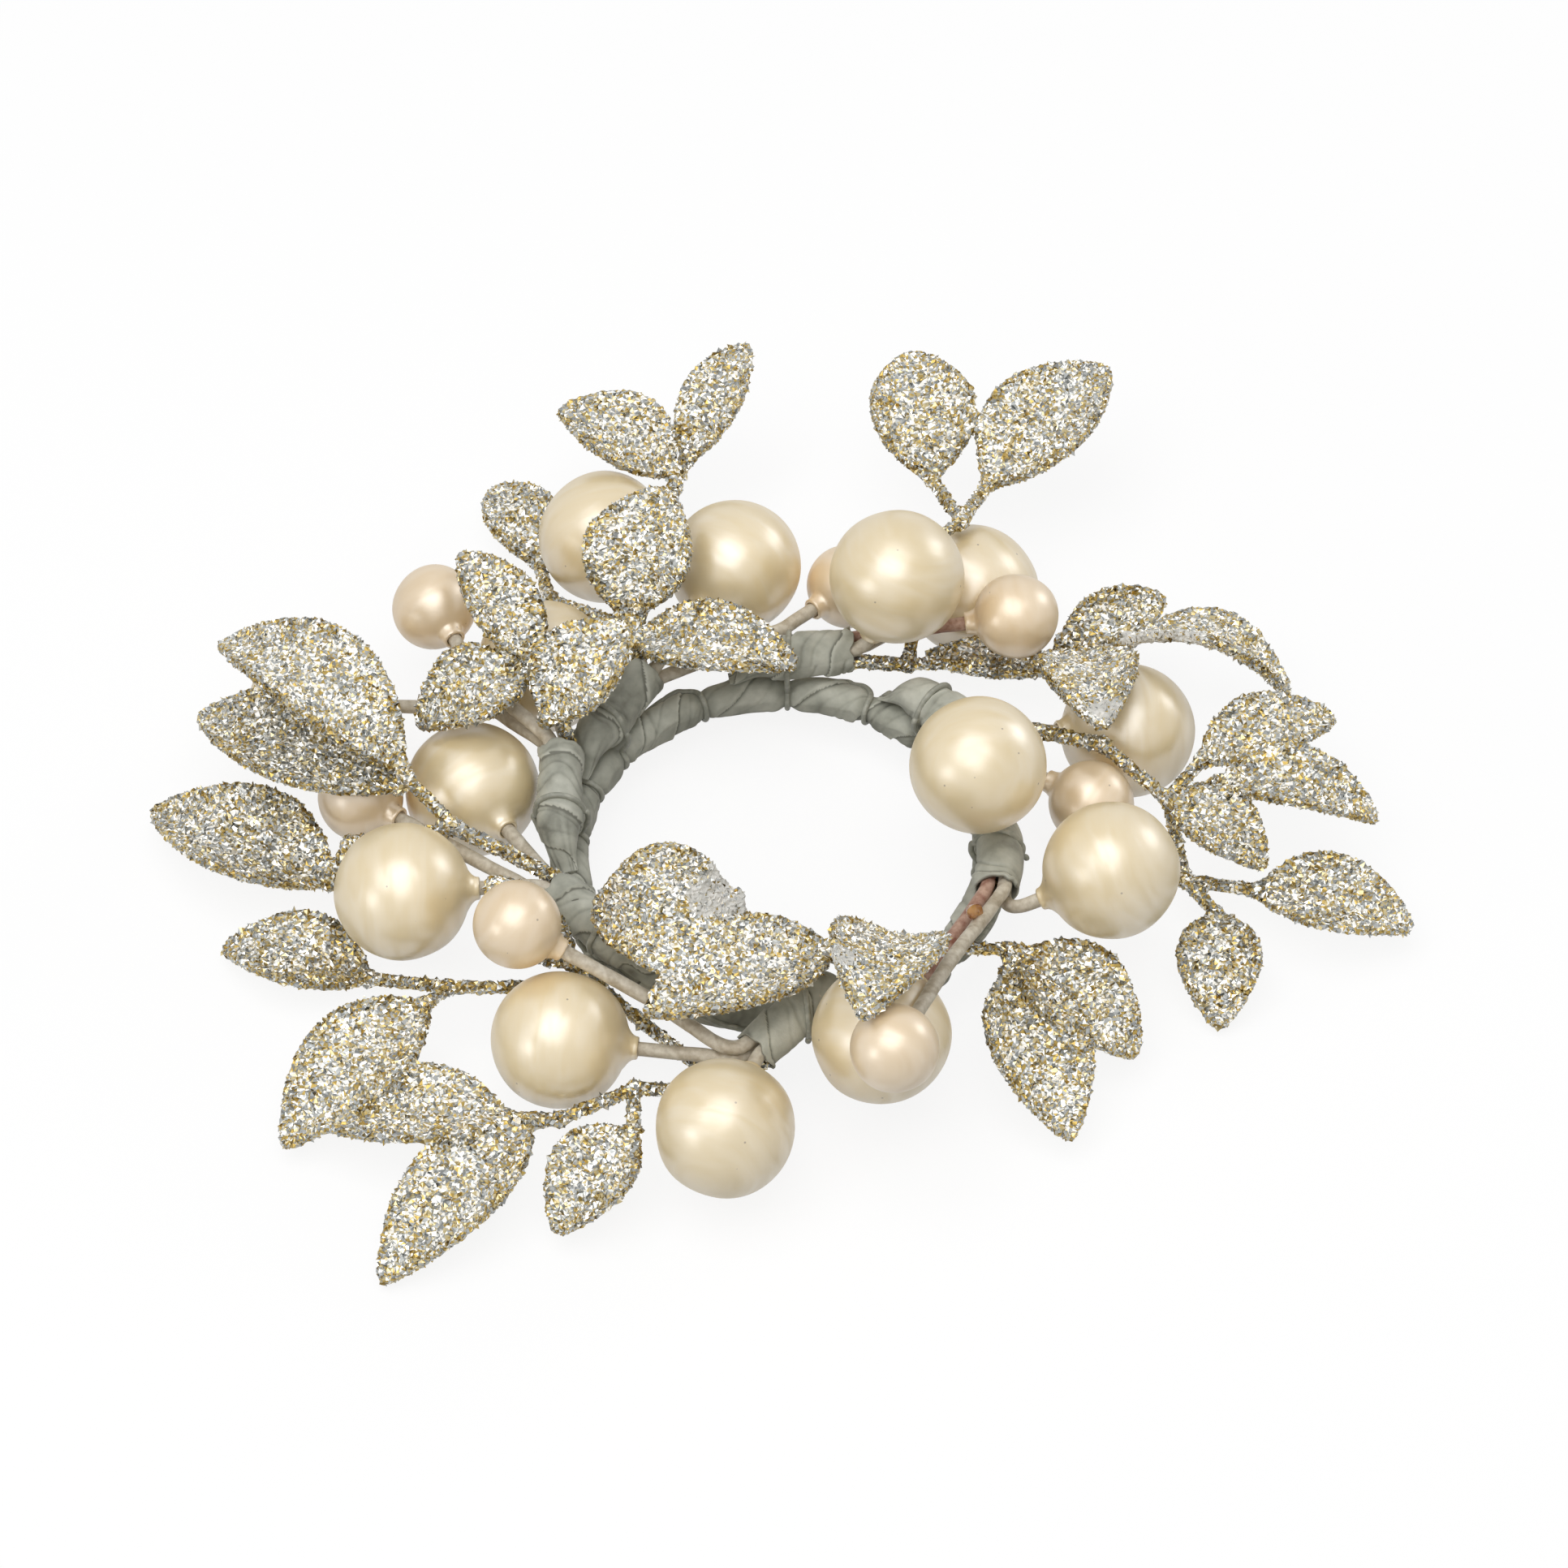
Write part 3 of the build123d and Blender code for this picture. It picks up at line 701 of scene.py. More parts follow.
@dataclass(frozen=True)
class FloorPaper(Finish):
    """White paper sheet: an even white with soft shadows; plain grey to rays that only light the ring."""
    name: str = "white_paper_floor"
    plain: str = "#989895"
    shaded: str = "#737373"
    glow: float = 0.86

    def shader(self, tree: bpy.types.NodeTree) -> bpy.types.NodeSocket:
        """Builds the shader.

        Args:
            tree: Node tree of the material.

        Returns:
            The shader's socket.
        """
        plain = add_node(tree, "ShaderNodeBsdfDiffuse", inputs={"Color": linear(self.plain)})
        shaded = add_node(tree, "ShaderNodeBsdfDiffuse", inputs={"Color": linear(self.shaded)})
        glow = add_node(tree, "ShaderNodeEmission", inputs={"Strength": self.glow})
        paper = add_node(tree, "ShaderNodeAddShader", links={0: shaded.outputs[0], 1: glow.outputs[0]})
        mixed = add_node(tree, "ShaderNodeMixShader",
                         links={"Fac": shows_background(tree), 1: plain.outputs[0], 2: paper.outputs[0]})
        return mixed.outputs[0]


# Pieces

def hoop_sizes() -> tuple[float, float, float]:
    """Measures the CAD hoop.

    Returns:
        Radius of the bore, of the hoop's centre line and of the taped strand, in millimetres.
    """
    points, _ = cad_arrays("hoop_tape")
    reach = np.hypot(points[:, 0], points[:, 1])
    strand = points[:, 2].max()
    return reach.min(), reach.max() - strand, strand


@dataclass(frozen=True)
class TapeTurns:
    """Tape wound in overlapping turns. Widths are shares of a turn, and shades go to the finish."""
    seed: int
    kinds: int = 64
    creases: int = 3
    edge_width: float = 0.025
    crease_width: float = 0.035
    crease_start: float = 0.12
    crease_range: float = 0.75
    crease_swing: float = 0.14
    crease_phase: float = 7.0
    dark_width: float = 0.04
    pale_width: float = 0.05
    turn_shade: float = 0.2
    pale_shade: float = 0.2
    dark_shade: float = 0.42
    crease_shade: float = 0.13

    def at(self, turn: np.ndarray, angle: np.ndarray) -> tuple[np.ndarray, np.ndarray, np.ndarray]:
        """Works out the tape at some points.

        Args:
            turn: Turns gone at each point; the tape's upper edge lies at whole numbers.
            angle: Angle round the strand in radians.

        Returns:
            Height of the lap from 0 to 1, depth of the creases from 0 to about 1, and a random tone with
            painted shade for the finish.
        """
        share = turn - np.floor(turn)
        table = np.random.default_rng(self.seed).uniform(size=(self.kinds, 3 * self.creases))
        chances = table[np.floor(turn).astype(int) % self.kinds]
        lap = np.clip(share / self.edge_width, 0, 1) * (1 - share)
        crease = np.zeros_like(share)
        for first in range(0, 3 * self.creases, 3):
            swing = self.crease_swing * np.sin(angle + self.crease_phase * chances[:, first + 1])
            line = self.crease_start + self.crease_range * chances[:, first] + swing
            crease = crease + chances[:, first + 2] * np.exp(-((share - line) / self.crease_width) ** 2)
        # Painted shade: a dark line under the edge of the next lap, and darker creases. The pale upper edge
        # and the random tone of each turn are the tape's own colour.
        under_edge = np.exp(-((1 - share) / self.dark_width) ** 2)
        on_edge = np.exp(-(share / self.pale_width) ** 2)
        shade = self.turn_shade * (chances[:, 1] - 0.5) + self.pale_shade * on_edge
        return lap, crease, shade - self.dark_shade * under_edge - self.crease_shade * crease


@dataclass
class HoopTape:
    """Crepe tape wound on the hoop: overlapping turns, waisted where the binding wire bites, with painted
    shade there.
    """
    seed: int = 3
    turns: int = 19
    first_turn: int = 1
    wander_turns: float = 0.1
    wander_wave_mm: float = 6.0
    lap_mm: float = 0.17
    crease_mm: float = 0.07
    lump_mm: float = 0.035
    lump_wave_mm: float = 2.4
    bite_width_mm: float = 0.5
    bite_shade: float = 0.12
    core_wall_mm: float = 0.05
    waist_slack_mm: float = 0.02
    waist_gap_rad: float = 0.05
    along: int = 1100
    around: int = 72

    def waists(self, hoop: float) -> tuple[np.ndarray, float]:
        """Finds where the CAD tape is drawn in.

        Args:
            hoop: Radius of the hoop's centre line.

        Returns:
            The bearings of the waists in radians, in order, and the tape's radius there.
        """
        points, _ = cad_arrays("hoop_tape")
        wire = cad_arrays("hoop_wire")[0][:, 2].max()
        reach = np.hypot(points[:, 0], points[:, 1])
        depth = np.hypot(reach - hoop, points[:, 2])
        shell = (depth > wire + self.core_wall_mm) & (reach > hoop)
        waist = depth[shell].min()
        low = shell & (depth < waist + self.waist_slack_mm)
        bearings = np.sort(np.arctan2(points[low, 1], points[low, 0]))
        groups = np.split(bearings, np.flatnonzero(np.diff(bearings) > self.waist_gap_rad) + 1)
        return np.array([group.mean() for group in groups]), waist

    def build(self, tape: bpy.types.Material) -> None:
        """Builds the taped hoop.

        Args:
            tape: Material of the tape.
        """
        bore, hoop, strand = hoop_sizes()
        bearing, angle = np.meshgrid(even_angles(self.along), even_angles(self.around), indexing="ij")
        bearing = bearing.ravel()
        angle = angle.ravel()
        core = np.stack([hoop * np.cos(bearing), hoop * np.sin(bearing), 0 * bearing], axis=1)
        level = np.cos(angle)
        way = np.stack([level * np.cos(bearing), level * np.sin(bearing), np.sin(angle)], axis=1)
        sheet = core + way * strand
        wander = self.wander_turns * Unevenness(self.seed, self.wander_wave_mm).at(sheet)
        turn = self.turns * bearing / FULL_TURN - angle / FULL_TURN + wander
        lap, crease, shade = TapeTurns(self.seed).at(turn + self.first_turn, angle)
        lump = Unevenness(self.seed + 2, self.lump_wave_mm).at(sheet)
        waists, waist = self.waists(hoop)
        gaps = np.angle(np.exp(1j * (bearing[:, None] - waists[None, :])))
        near = np.abs(gaps).min(axis=1) * hoop
        bite = np.exp(-(near / self.bite_width_mm) ** 2)
        radius = strand + self.lap_mm * (lap - LAP_LEVEL) - self.crease_mm * crease + self.lump_mm * lump
        radius = radius * (1 - bite) + waist * bite
        made = core + way * radius[:, None]
        reach = np.hypot(made[:, 0], made[:, 1])
        made[:, :2] *= (np.maximum(reach, bore) / reach)[:, None]
        grid = np.arange(self.along * self.around).reshape(self.along, self.around)
        ahead = np.roll(grid, -1, axis=0)
        quads = np.stack([grid, ahead, np.roll(ahead, -1, axis=1), np.roll(grid, -1, axis=1)], axis=-1)
        piece = add_piece("hoop_crepe_tape", made, quads.reshape(-1, 4).tolist(), [tape],
                          ["hoop_tape"])
        # Painted shade: the tape is darker where the binding wire bites in.
        add_value(piece, "tone_and_painted_shade", shade - self.bite_shade * bite)


@dataclass
class PickTape:
    """Crepe tape round the stems of a pick: a flattened tail, lapped turns and an open mouth, painted darker
    inside as shade.
    """
    pick: str
    seed: int
    first_turn: int = 2
    lead_mm: float = 2.9
    wander_turns: float = 0.1
    wander_wave_mm: float = 3.5
    lap_mm: float = 0.15
    crease_mm: float = 0.08
    lump_mm: float = 0.03
    lump_wave_mm: float = 1.8
    wall_mm: float = 0.2
    mouth_depth_mm: float = 2.6
    # Painted shade on the walls and floor inside the tape's open mouth.
    mouth_shade: float = -0.3
    end_band_mm: float = 0.05
    # The tail lies flat on the hoop. Its width, height and relief are shares of the full tape's.
    tail_mm: float = 1.5
    taper_mm: float = 1.5
    rest_mm: float = 0.16
    tail_width: float = 0.5
    tail_height: float = 0.1
    tail_relief: float = 0.3
    # How far inside the hoop's centre line the tail may lie, and how much further the full tape.
    hold_mm: float = 0.2
    let_in_mm: float = 3.0
    # Pleats run along the tail and fade towards the mouth; they are painted darker too, as shade.
    pleats: int = 5
    pleat_slant: float = 0.25
    pleat_rad: float = 0.1
    pleat_least: float = 0.3
    pleat_fade: float = 1.1
    pleat_shade: float = 0.3
    pleat_shade_fade: float = 1.15
    # The last eighth of the tape frays.
    fray_part: int = 8
    fray_mm: float = 0.1
    fray_wave_mm: float = 0.9
    along: int = 110
    around: int = 64

    def axis(self, points: np.ndarray,
             faces: list[tuple[int, ...]]) -> tuple[np.ndarray, np.ndarray, np.ndarray]:
        """Finds where the tape lies.

        Args:
            points: Points of the CAD tape.
            faces: Its faces.

        Returns:
            The tail end, the mouth end and the unit vector between them.
        """
        corners = points[np.array([face[:3] for face in faces])]
        edges = corners[:, 1:] - corners[:, :1]
        weight = np.linalg.norm(np.cross(edges[:, 0], edges[:, 1]), axis=1)
        middles = corners.mean(axis=1)
        centre = np.average(middles, axis=0, weights=weight)
        spread = (middles - centre) * np.sqrt(weight)[:, None]
        way = np.linalg.svd(spread, full_matrices=False)[2][0]
        place = (points - centre) @ way
        off = np.linalg.norm(points - centre - place[:, None] * way, axis=1)
        low, high = place.min(), place.max()
        if off[place < low + self.end_band_mm].max() > off[place > high - self.end_band_mm].max():
            way, low, high = -way, -high, -low
        return centre + way * low, centre + way * high, way

    def line(self, tail: np.ndarray, way: np.ndarray, gone: np.ndarray,
             grown: np.ndarray) -> tuple[np.ndarray, np.ndarray]:
        """Leads the middle of the tape from the hoop's surface up to the pick's axis.

        Args:
            tail: Tail end of the CAD tape.
            way: Direction from the tail to the mouth.
            gone: Distance of each station from the tip of the tail.
            grown: Share from 0 at the tip to 1 where the tape is full.

        Returns:
            The middle of each station, and the way up from the hoop there.
        """
        _, hoop, strand = hoop_sizes()
        line = tail + way * (gone - self.tail_mm)[:, None]
        reach = np.hypot(line[:, 0], line[:, 1])
        held = np.maximum(reach, hoop - self.hold_mm - self.let_in_mm * grown)
        line[:, :2] *= (held / reach)[:, None]
        down = np.column_stack([line[:, :2] * (hoop / held - 1)[:, None], -line[:, 2]])
        far = np.linalg.norm(down, axis=1)
        down /= far[:, None]
        line = line + down * ((1 - grown) ** 2 * (far - strand - self.rest_mm))[:, None]
        return line, -down

    def build(self, tape: bpy.types.Material) -> None:
        """Builds the tape.

        Args:
            tape: Material of the tape.
        """
        node = self.pick + "_pick_tape"
        points, faces = cad_arrays(node)
        tail, mouth, way = self.axis(points, faces)
        full = np.linalg.norm(points - mouth, axis=1).min() + self.wall_mm
        gone = np.linspace(0, np.linalg.norm(mouth - tail) + self.tail_mm, self.along)
        grown = np.clip(gone / (self.tail_mm + self.taper_mm), 0, 1)
        grown = grown * grown * (3 - 2 * grown)
        line, up = self.line(tail, way, gone, grown)
        ways = unit(np.gradient(line, axis=0))
        side = unit(np.cross(ways, up))
        top = np.cross(side, ways)
        angle = np.tile(even_angles(self.around), self.along)
        station = np.repeat(np.arange(self.along), self.around)
        share = grown[station]
        across = np.cos(angle)[:, None] * side[station]
        upward = np.sin(angle)[:, None] * top[station]
        ring = across + upward
        flat = across * (self.tail_width + (1 - self.tail_width) * share)[:, None]
        flat = flat + upward * (self.tail_height + (1 - self.tail_height) * share)[:, None]
        sheet = line[station] + ring * full
        wander = self.wander_turns * Unevenness(self.seed, self.wander_wave_mm).at(sheet)
        turn = gone[station] / self.lead_mm - angle / FULL_TURN + wander
        lap, crease, shade = TapeTurns(self.seed).at(turn + self.first_turn, angle)
        random = np.random.default_rng(self.seed + 7)
        for _ in range(self.pleats):
            start = random.uniform(0, FULL_TURN)
            slant = random.uniform(-self.pleat_slant, self.pleat_slant)
            bent = angle - start - slant * gone[station]
            pleat = np.exp(-(np.angle(np.exp(1j * bent)) / self.pleat_rad) ** 2)
            pleat = pleat * random.uniform(self.pleat_least, 1)
            crease = crease + pleat * (self.pleat_fade - share)
            # Painted shade along each pleat.
            shade = shade - self.pleat_shade * pleat * (self.pleat_shade_fade - share)
        lump = Unevenness(self.seed + 50, self.lump_wave_mm).at(sheet)
        rise = self.lap_mm * (lap - LAP_LEVEL) - self.crease_mm * crease + self.lump_mm * lump
        lift = rise * (self.tail_relief + (1 - self.tail_relief) * share)
        fray = self.fray_mm * Unevenness(self.seed + 90, self.fray_wave_mm).at(ring * full)
        fray = fray * np.clip(self.fray_part * gone[station] / gone[-1] - (self.fray_part - 1), 0, 1)
        outer = line[station] + way * fray[:, None] + flat * full + ring * lift[:, None]
        last = slice(-self.around, None)
        bore = line[-1] + way * fray[last, None] + ring[last] * (full - self.wall_mm)
        floor = bore - way * self.mouth_depth_mm
        rows = np.concatenate([outer, bore, floor, [line[0], line[-1] - way * self.mouth_depth_mm]])
        piece = add_piece(self.pick + "_pick_crepe_tape", rows, tube_faces(self.along + 2, self.around),
                          [tape], [node])
        add_value(piece, "tone_and_painted_shade", np.concatenate([shade, np.full(len(rows) - len(shade), self.mouth_shade)]))


@dataclass
class Strand:
    """A wire or stem, rebuilt on the centre line of its CAD node."""
    name: str
    node: str
    radius_mm: float
    slot: Slot
    seed: int
    spacing_mm: float
    around: int = 20
    lead_mm: float = 0.0
    lap_mm: float = 0.0
    lap_edge: float = 0.08
    lap_shade: float = 0.3
    wander_mm: float = 0.0
    wander_wave_mm: float = 2.5
    # Pieces of tape that a wire is drawn onto, and how far the tape is looked for. The wire stops with
    # the tape so many radii from its outer side: at 2 it would only touch, below that it presses in.
    drawn_onto: tuple[str, ...] = ()
    draw_mm: float = 1.0
    draw_stop: float = 1.7
    draw_rounds: int = 12
    # The centre line is found on a skin of quads, so many to a radius.
    skin_quads: int = 3
    middle_rounds: int = 3
    station_radii: float = 0.35
    least_stations: int = 12
    station_rounds: int = 4
    # A direction that no strand starts along, to measure the first ring's angles from.
    slant: tuple[float, float, float] = (0.31, 0.17, 0.94)

    def drawn(self, line: np.ndarray) -> np.ndarray:
        """Draws a wire tight on the tape round the hoop.

        Args:
            line: Points of its centre line.

        Returns:
            The points, moved towards the hoop by the draw length at most.
        """
        points: list[Vector] = []
        faces: list[tuple[int, ...]] = []
        for name in self.drawn_onto:
            mesh = bpy.data.objects[name].data
            faces += [tuple(len(points) + corner for corner in face.vertices) for face in mesh.polygons]
            points += [vertex.co / MM for vertex in mesh.vertices]
        tape = BVHTree.FromPolygons(points, faces)
        bearings = np.arctan2(line[:, 1], line[:, 0])
        hoop = hoop_sizes()[1]
        core = np.stack([hoop * np.cos(bearings), hoop * np.sin(bearings), 0 * bearings], axis=1)
        inward = unit(core - line)
        reach = self.draw_mm + 2 * self.radius_mm
        shift = np.zeros(len(line))
        for index, (place, way) in enumerate(zip(line, inward)):
            outer_side = Vector(place - way * self.radius_mm)
            gap = tape.ray_cast(outer_side, Vector(way), reach)[3]
            if gap is not None:
                shift[index] = max(0.0, gap - self.draw_stop * self.radius_mm)
        return line + inward * eased(shift, self.draw_rounds)[:, None]

    def centre_line(self) -> np.ndarray:
        """Finds the middle of the CAD node from one end to the other, by the way along its skin.

        Returns:
            Points of the centre line in order, in millimetres.
        """
        points, quads = even_skin(*cad_arrays(self.node), self.radius_mm / self.skin_quads)
        near: list[list[tuple[int, float]]] = [[] for _ in points]
        for a, b in edges_of(quads):
            gap = float(np.linalg.norm(points[a] - points[b]))
            near[a].append((b, gap))
            near[b].append((a, gap))
        far = int(np.argmax(self.reaches(near, 0)))
        reach = self.reaches(near, far)
        bins = (reach / self.spacing_mm).astype(int)
        middles = [points[bins == k].mean(axis=0) for k in range(bins.max() + 1) if (bins == k).any()]
        return eased(np.array(middles), self.middle_rounds)

    @staticmethod
    def reaches(near: list[list[tuple[int, float]]], start: int) -> np.ndarray:
        """Gives each point's shortest way along the skin from a start.

        Args:
            near: Neighbours of each point, with their distances.
            start: Point to start from.

        Returns:
            One length per point.
        """
        reach = np.full(len(near), np.inf)
        reach[start] = 0.0
        queue = [(0.0, start)]
        while queue:
            gone, place = heapq.heappop(queue)
            if gone > reach[place]:
                continue
            for other, gap in near[place]:
                if gone + gap < reach[other]:
                    reach[other] = gone + gap
                    heapq.heappush(queue, (gone + gap, other))
        return reach

    def build(self, material: bpy.types.Material) -> None:
        """Builds the strand.

        Args:
            material: Material of the strand.
        """
        line = self.centre_line()
        gone = np.concatenate([[0], np.cumsum(np.linalg.norm(np.diff(line, axis=0), axis=1))])
        count = max(self.least_stations, int(gone[-1] / (self.radius_mm * self.station_radii)))
        stations = np.linspace(0, gone[-1], count)
        line = np.stack([np.interp(stations, gone, line[:, k]) for k in range(3)], axis=1)
        line = eased(line, self.station_rounds)
        if self.drawn_onto:
            line = self.drawn(line)
        ways = unit(np.gradient(line, axis=0))
        side = np.cross(ways[0], self.slant)
        sides = []
        for way in ways:
            side = side - way * (side @ way)
            side /= np.linalg.norm(side)
            sides.append(side)
        sides = np.array(sides)
        tops = np.cross(ways, sides)
        angle = even_angles(self.around)
        ring = np.cos(angle)[None, :, None] * sides[:, None] + np.sin(angle)[None, :, None] * tops[:, None]
        skin = line[:, None] + ring * self.radius_mm
        lap = np.zeros(skin.shape[:2])
        if self.lead_mm:
            turn = stations[:, None] / self.lead_mm - angle[None, :] / FULL_TURN
            part = turn - np.floor(turn)
            lap = np.clip(part / self.lap_edge, 0, 1) * (1 - part)
        swell = self.lap_mm * (lap - 1)
        if self.wander_mm:
            wander = Unevenness(self.seed, self.wander_wave_mm).at(skin.reshape(-1, 3))
            swell = swell + self.wander_mm * wander.reshape(swell.shape)
        skin = skin + ring * swell[:, :, None]
        rows = np.concatenate([skin.reshape(-1, 3), line[:1], line[-1:]])
        piece = add_piece(self.name, rows, tube_faces(count, self.around), [material], [self.node])
        # Painted shade: darker where one turn of paper laps the next.
        add_value(piece, "tone_and_painted_shade", np.concatenate([self.lap_shade * (lap.ravel() - 0.5), [0, 0]]))


@dataclass
class Pearl:
    """A dipped ball with a teat where its stem goes in."""
    node: str
    slot: Slot
    seed: int
    teat_spread_deg: float = 20.0
    teat_rows: int = 7
    teat_flare: float = 2.2
    teat_rise_mm: float = 0.25
    lip_mm: float = 0.62
    lip_height_mm: float = 0.06
    lip_round_mm: float = 0.05
    hole_mm: float = 0.44
    hole_round_mm: float = 0.03
    hole_depth_mm: float = 1.9
    dent_mm: float = 0.025
    dent_wave_mm: float = 4.5
    # The ball is fitted to the CAD points again and again, to those that lie nearest to the last fit.
    fit_rounds: int = 12
    fit_share: float = 0.7
    fit_slack_mm: float = 0.02
    along: int = 48
    around: int = 80

    def ball(self) -> tuple[np.ndarray, float, np.ndarray, float]:
        """Measures the CAD pearl.

        Returns:
            Its centre, its radius, the way to its teat and the teat's reach from the centre.
        """
        points, _ = cad_arrays(self.node)
        kept = np.ones(len(points), bool)
        for _ in range(self.fit_rounds):
            inside = points[kept]
            rows = np.column_stack([2 * inside, np.ones(len(inside))])
            found = np.linalg.lstsq(rows, (inside ** 2).sum(axis=1), rcond=None)[0]
            centre = found[:3]
            radius = math.sqrt(found[3] + centre @ centre)
            error = np.abs(np.linalg.norm(points - centre, axis=1) - radius)
            kept = error < max(self.fit_slack_mm, np.quantile(error, self.fit_share))
        off = points - centre
        way = off[np.linalg.norm(off, axis=1) > radius + self.teat_rise_mm].mean(axis=0)
        way /= np.linalg.norm(way)
        return centre, radius, way, float((off @ way).max())

    def profile(self, radius: float, tip: float) -> np.ndarray:
        """Draws half the pearl's outline, from its far side over the lip into the hole.

        Args:
            radius: Radius of the ball.
            tip: Reach of the teat from the centre.

        Returns:
            Distances from the axis and places along it, one pair to a row.
        """
        turns = np.linspace(math.pi, math.radians(self.teat_spread_deg), self.along)[1:]
        outline = [(radius * math.sin(turn), radius * math.cos(turn)) for turn in turns]
        foot, start = outline[-1]
        for step in np.linspace(0, 1, self.teat_rows)[1:]:
            reach = foot + (self.lip_mm - foot) * (1 - (1 - step) ** self.teat_flare)
            outline.append((reach, start + (tip - self.lip_height_mm - start) * step))
        outline.append((self.lip_mm - self.lip_round_mm, tip))
        outline.append((self.hole_mm + self.hole_round_mm, tip))
        outline.append((self.hole_mm, tip - self.lip_round_mm))
        outline.append((self.hole_mm, tip - self.hole_depth_mm))
        return np.array(outline)

    def build(self, lacquer: bpy.types.Material) -> None:
        """Builds the pearl about its own centre, its teat along its own +Z.

        Args:
            lacquer: Material of the pearl.
        """
        centre, radius, way, tip = self.ball()
        rings = self.profile(radius, tip)
        angle = even_angles(self.around)
        skin = np.stack([rings[:, :1] * np.cos(angle), rings[:, :1] * np.sin(angle),
                         np.repeat(rings[:, 1:], self.around, axis=1)], axis=-1).reshape(-1, 3)
        length = np.linalg.norm(skin, axis=1)
        outside = np.repeat(np.arange(len(rings)) < self.along - 1, self.around)
        swell = self.dent_mm * Unevenness(self.seed, self.dent_wave_mm).at(skin) * outside
        skin = skin * (1 + swell / length)[:, None]
        skin = np.concatenate([skin, [(0, 0, -radius), (0, 0, tip - self.hole_depth_mm)]])
        piece = add_piece(self.node + "_nacre", skin, tube_faces(len(rings), self.around), [lacquer],
                          [self.node])
        turned = Vector(way).to_track_quat("Z", "Y").to_matrix().to_4x4()
        piece.matrix_world = Matrix.Translation(Vector(centre * MM)) @ turned


@dataclass
class LeafSpray:
    """A moulded spray of leaves under a crust of glitter flakes, one flake to a facet."""
    pick: str
    seed: int
    soft_rounds: int = 2
    flake_mm: float = 0.15
    slide_share: float = 0.3
    tilt_mm: float = 0.045
    twin_share: float = 0.25
    # Some flakes stand proud of the crust.
    stray_share: float = 0.05
    stray_least: float = 0.4
    stray_mm: float = 0.16
    # Flakes turn to gold towards the rim of a leaf, and a little in clusters.
    rim_gold: float = 0.6
    rim_start: float = 0.3
    rim_rounds: int = 24
    cluster: float = 0.07
    cluster_mm: float = 1.3
    rose_or_teal: float = 0.002
    # Places without glitter, their ragged edges and the share of bare facets in them.
    bare: tuple[tuple[float, float, float, float], ...] = ()
    bare_ragged: float = 0.15
    bare_wave_mm: float = 0.8
    bare_share: float = 0.86

    def bare_faces(self, middles: np.ndarray, chance: np.ndarray) -> np.ndarray:
        """Tells which faces lie in the patches without glitter.

        Args:
            middles: Middles of the faces.
            chance: A random number for each face.

        Returns:
            One truth value per face.
        """
        found = np.zeros(len(middles), bool)
        for x, y, z, radius in self.bare:
            reach = np.linalg.norm(middles - (x, y, z), axis=1)
            ragged = Unevenness(self.seed + 5, self.bare_wave_mm).at(middles)
            found |= reach + self.bare_ragged * radius * ragged < radius
        return found & (chance < self.bare_share)

    def near_rim(self, ways: np.ndarray, quads: np.ndarray) -> np.ndarray:
        """Tells how near the rim of its leaf each point is.

        Args:
            ways: Outward directions of the points.
            quads: Faces of the spray.

        Returns:
            One share per point, from 0 in the middle of a leaf to about 1 at its rim.
        """
        return 1 - np.linalg.norm(softened(ways, quads, self.rim_rounds), axis=1)

    def build(self, glitter: bpy.types.Material, frosted: bpy.types.Material) -> None:
        """Builds the spray.

        Args:
            glitter: Material of the flakes.
            frosted: Material of the bare patches.
        """
        node = self.pick + "_pick_leaf_spray"
        points, quads = even_skin(*cad_arrays(node), self.flake_mm)
        points = softened(points, quads, self.soft_rounds)
        ways = outward(points, quads)
        clusters = Unevenness(self.seed + 3, self.cluster_mm).at(points)
        tone = self.rim_gold * (self.near_rim(ways, quads) - self.rim_start) + self.cluster * clusters
        random = np.random.default_rng(self.seed)
        slide = random.normal(0, self.slide_share * self.flake_mm, points.shape)
        slide -= ways * (slide * ways).sum(axis=1)[:, None]
        rise = random.normal(0, self.tilt_mm, len(points))
        stray = random.random(len(points)) < self.stray_share
        rise += stray * random.uniform(self.stray_least, 1, len(points)) * self.stray_mm
        points = points + slide + ways * rise[:, None]
        turned = random.random(len(quads)) < 0.5
        first = np.where(turned[:, None], quads[:, [0, 1, 2]], quads[:, [1, 2, 3]])
        second = np.where(turned[:, None], quads[:, [0, 2, 3]], quads[:, [1, 3, 0]])
        flake = random.random((len(quads), 2))
        twins = random.random(len(quads)) < self.twin_share
        flake[twins, 1] = flake[twins, 0]
        toned = np.clip(flake + tone[quads].mean(axis=1)[:, None], 0, 1 - 2 * self.rose_or_teal)
        flake = np.where(flake > 1 - self.rose_or_teal, flake, toned)
        flakes = np.concatenate([first, second])
        piece = add_piece(self.pick + "_pick_glitter_leaves", points, flakes.tolist(), [glitter, frosted],
                          [node], smooth=False)
        bare = self.bare_faces(points[flakes].mean(axis=1), random.random(len(flakes)))
        piece.data.polygons.foreach_set("material_index", bare.astype(np.int32))
        add_value(piece, "flake", flake.T.ravel(), "FACE")
        add_value(piece, "gleam", random.random(2 * len(quads)), "FACE")


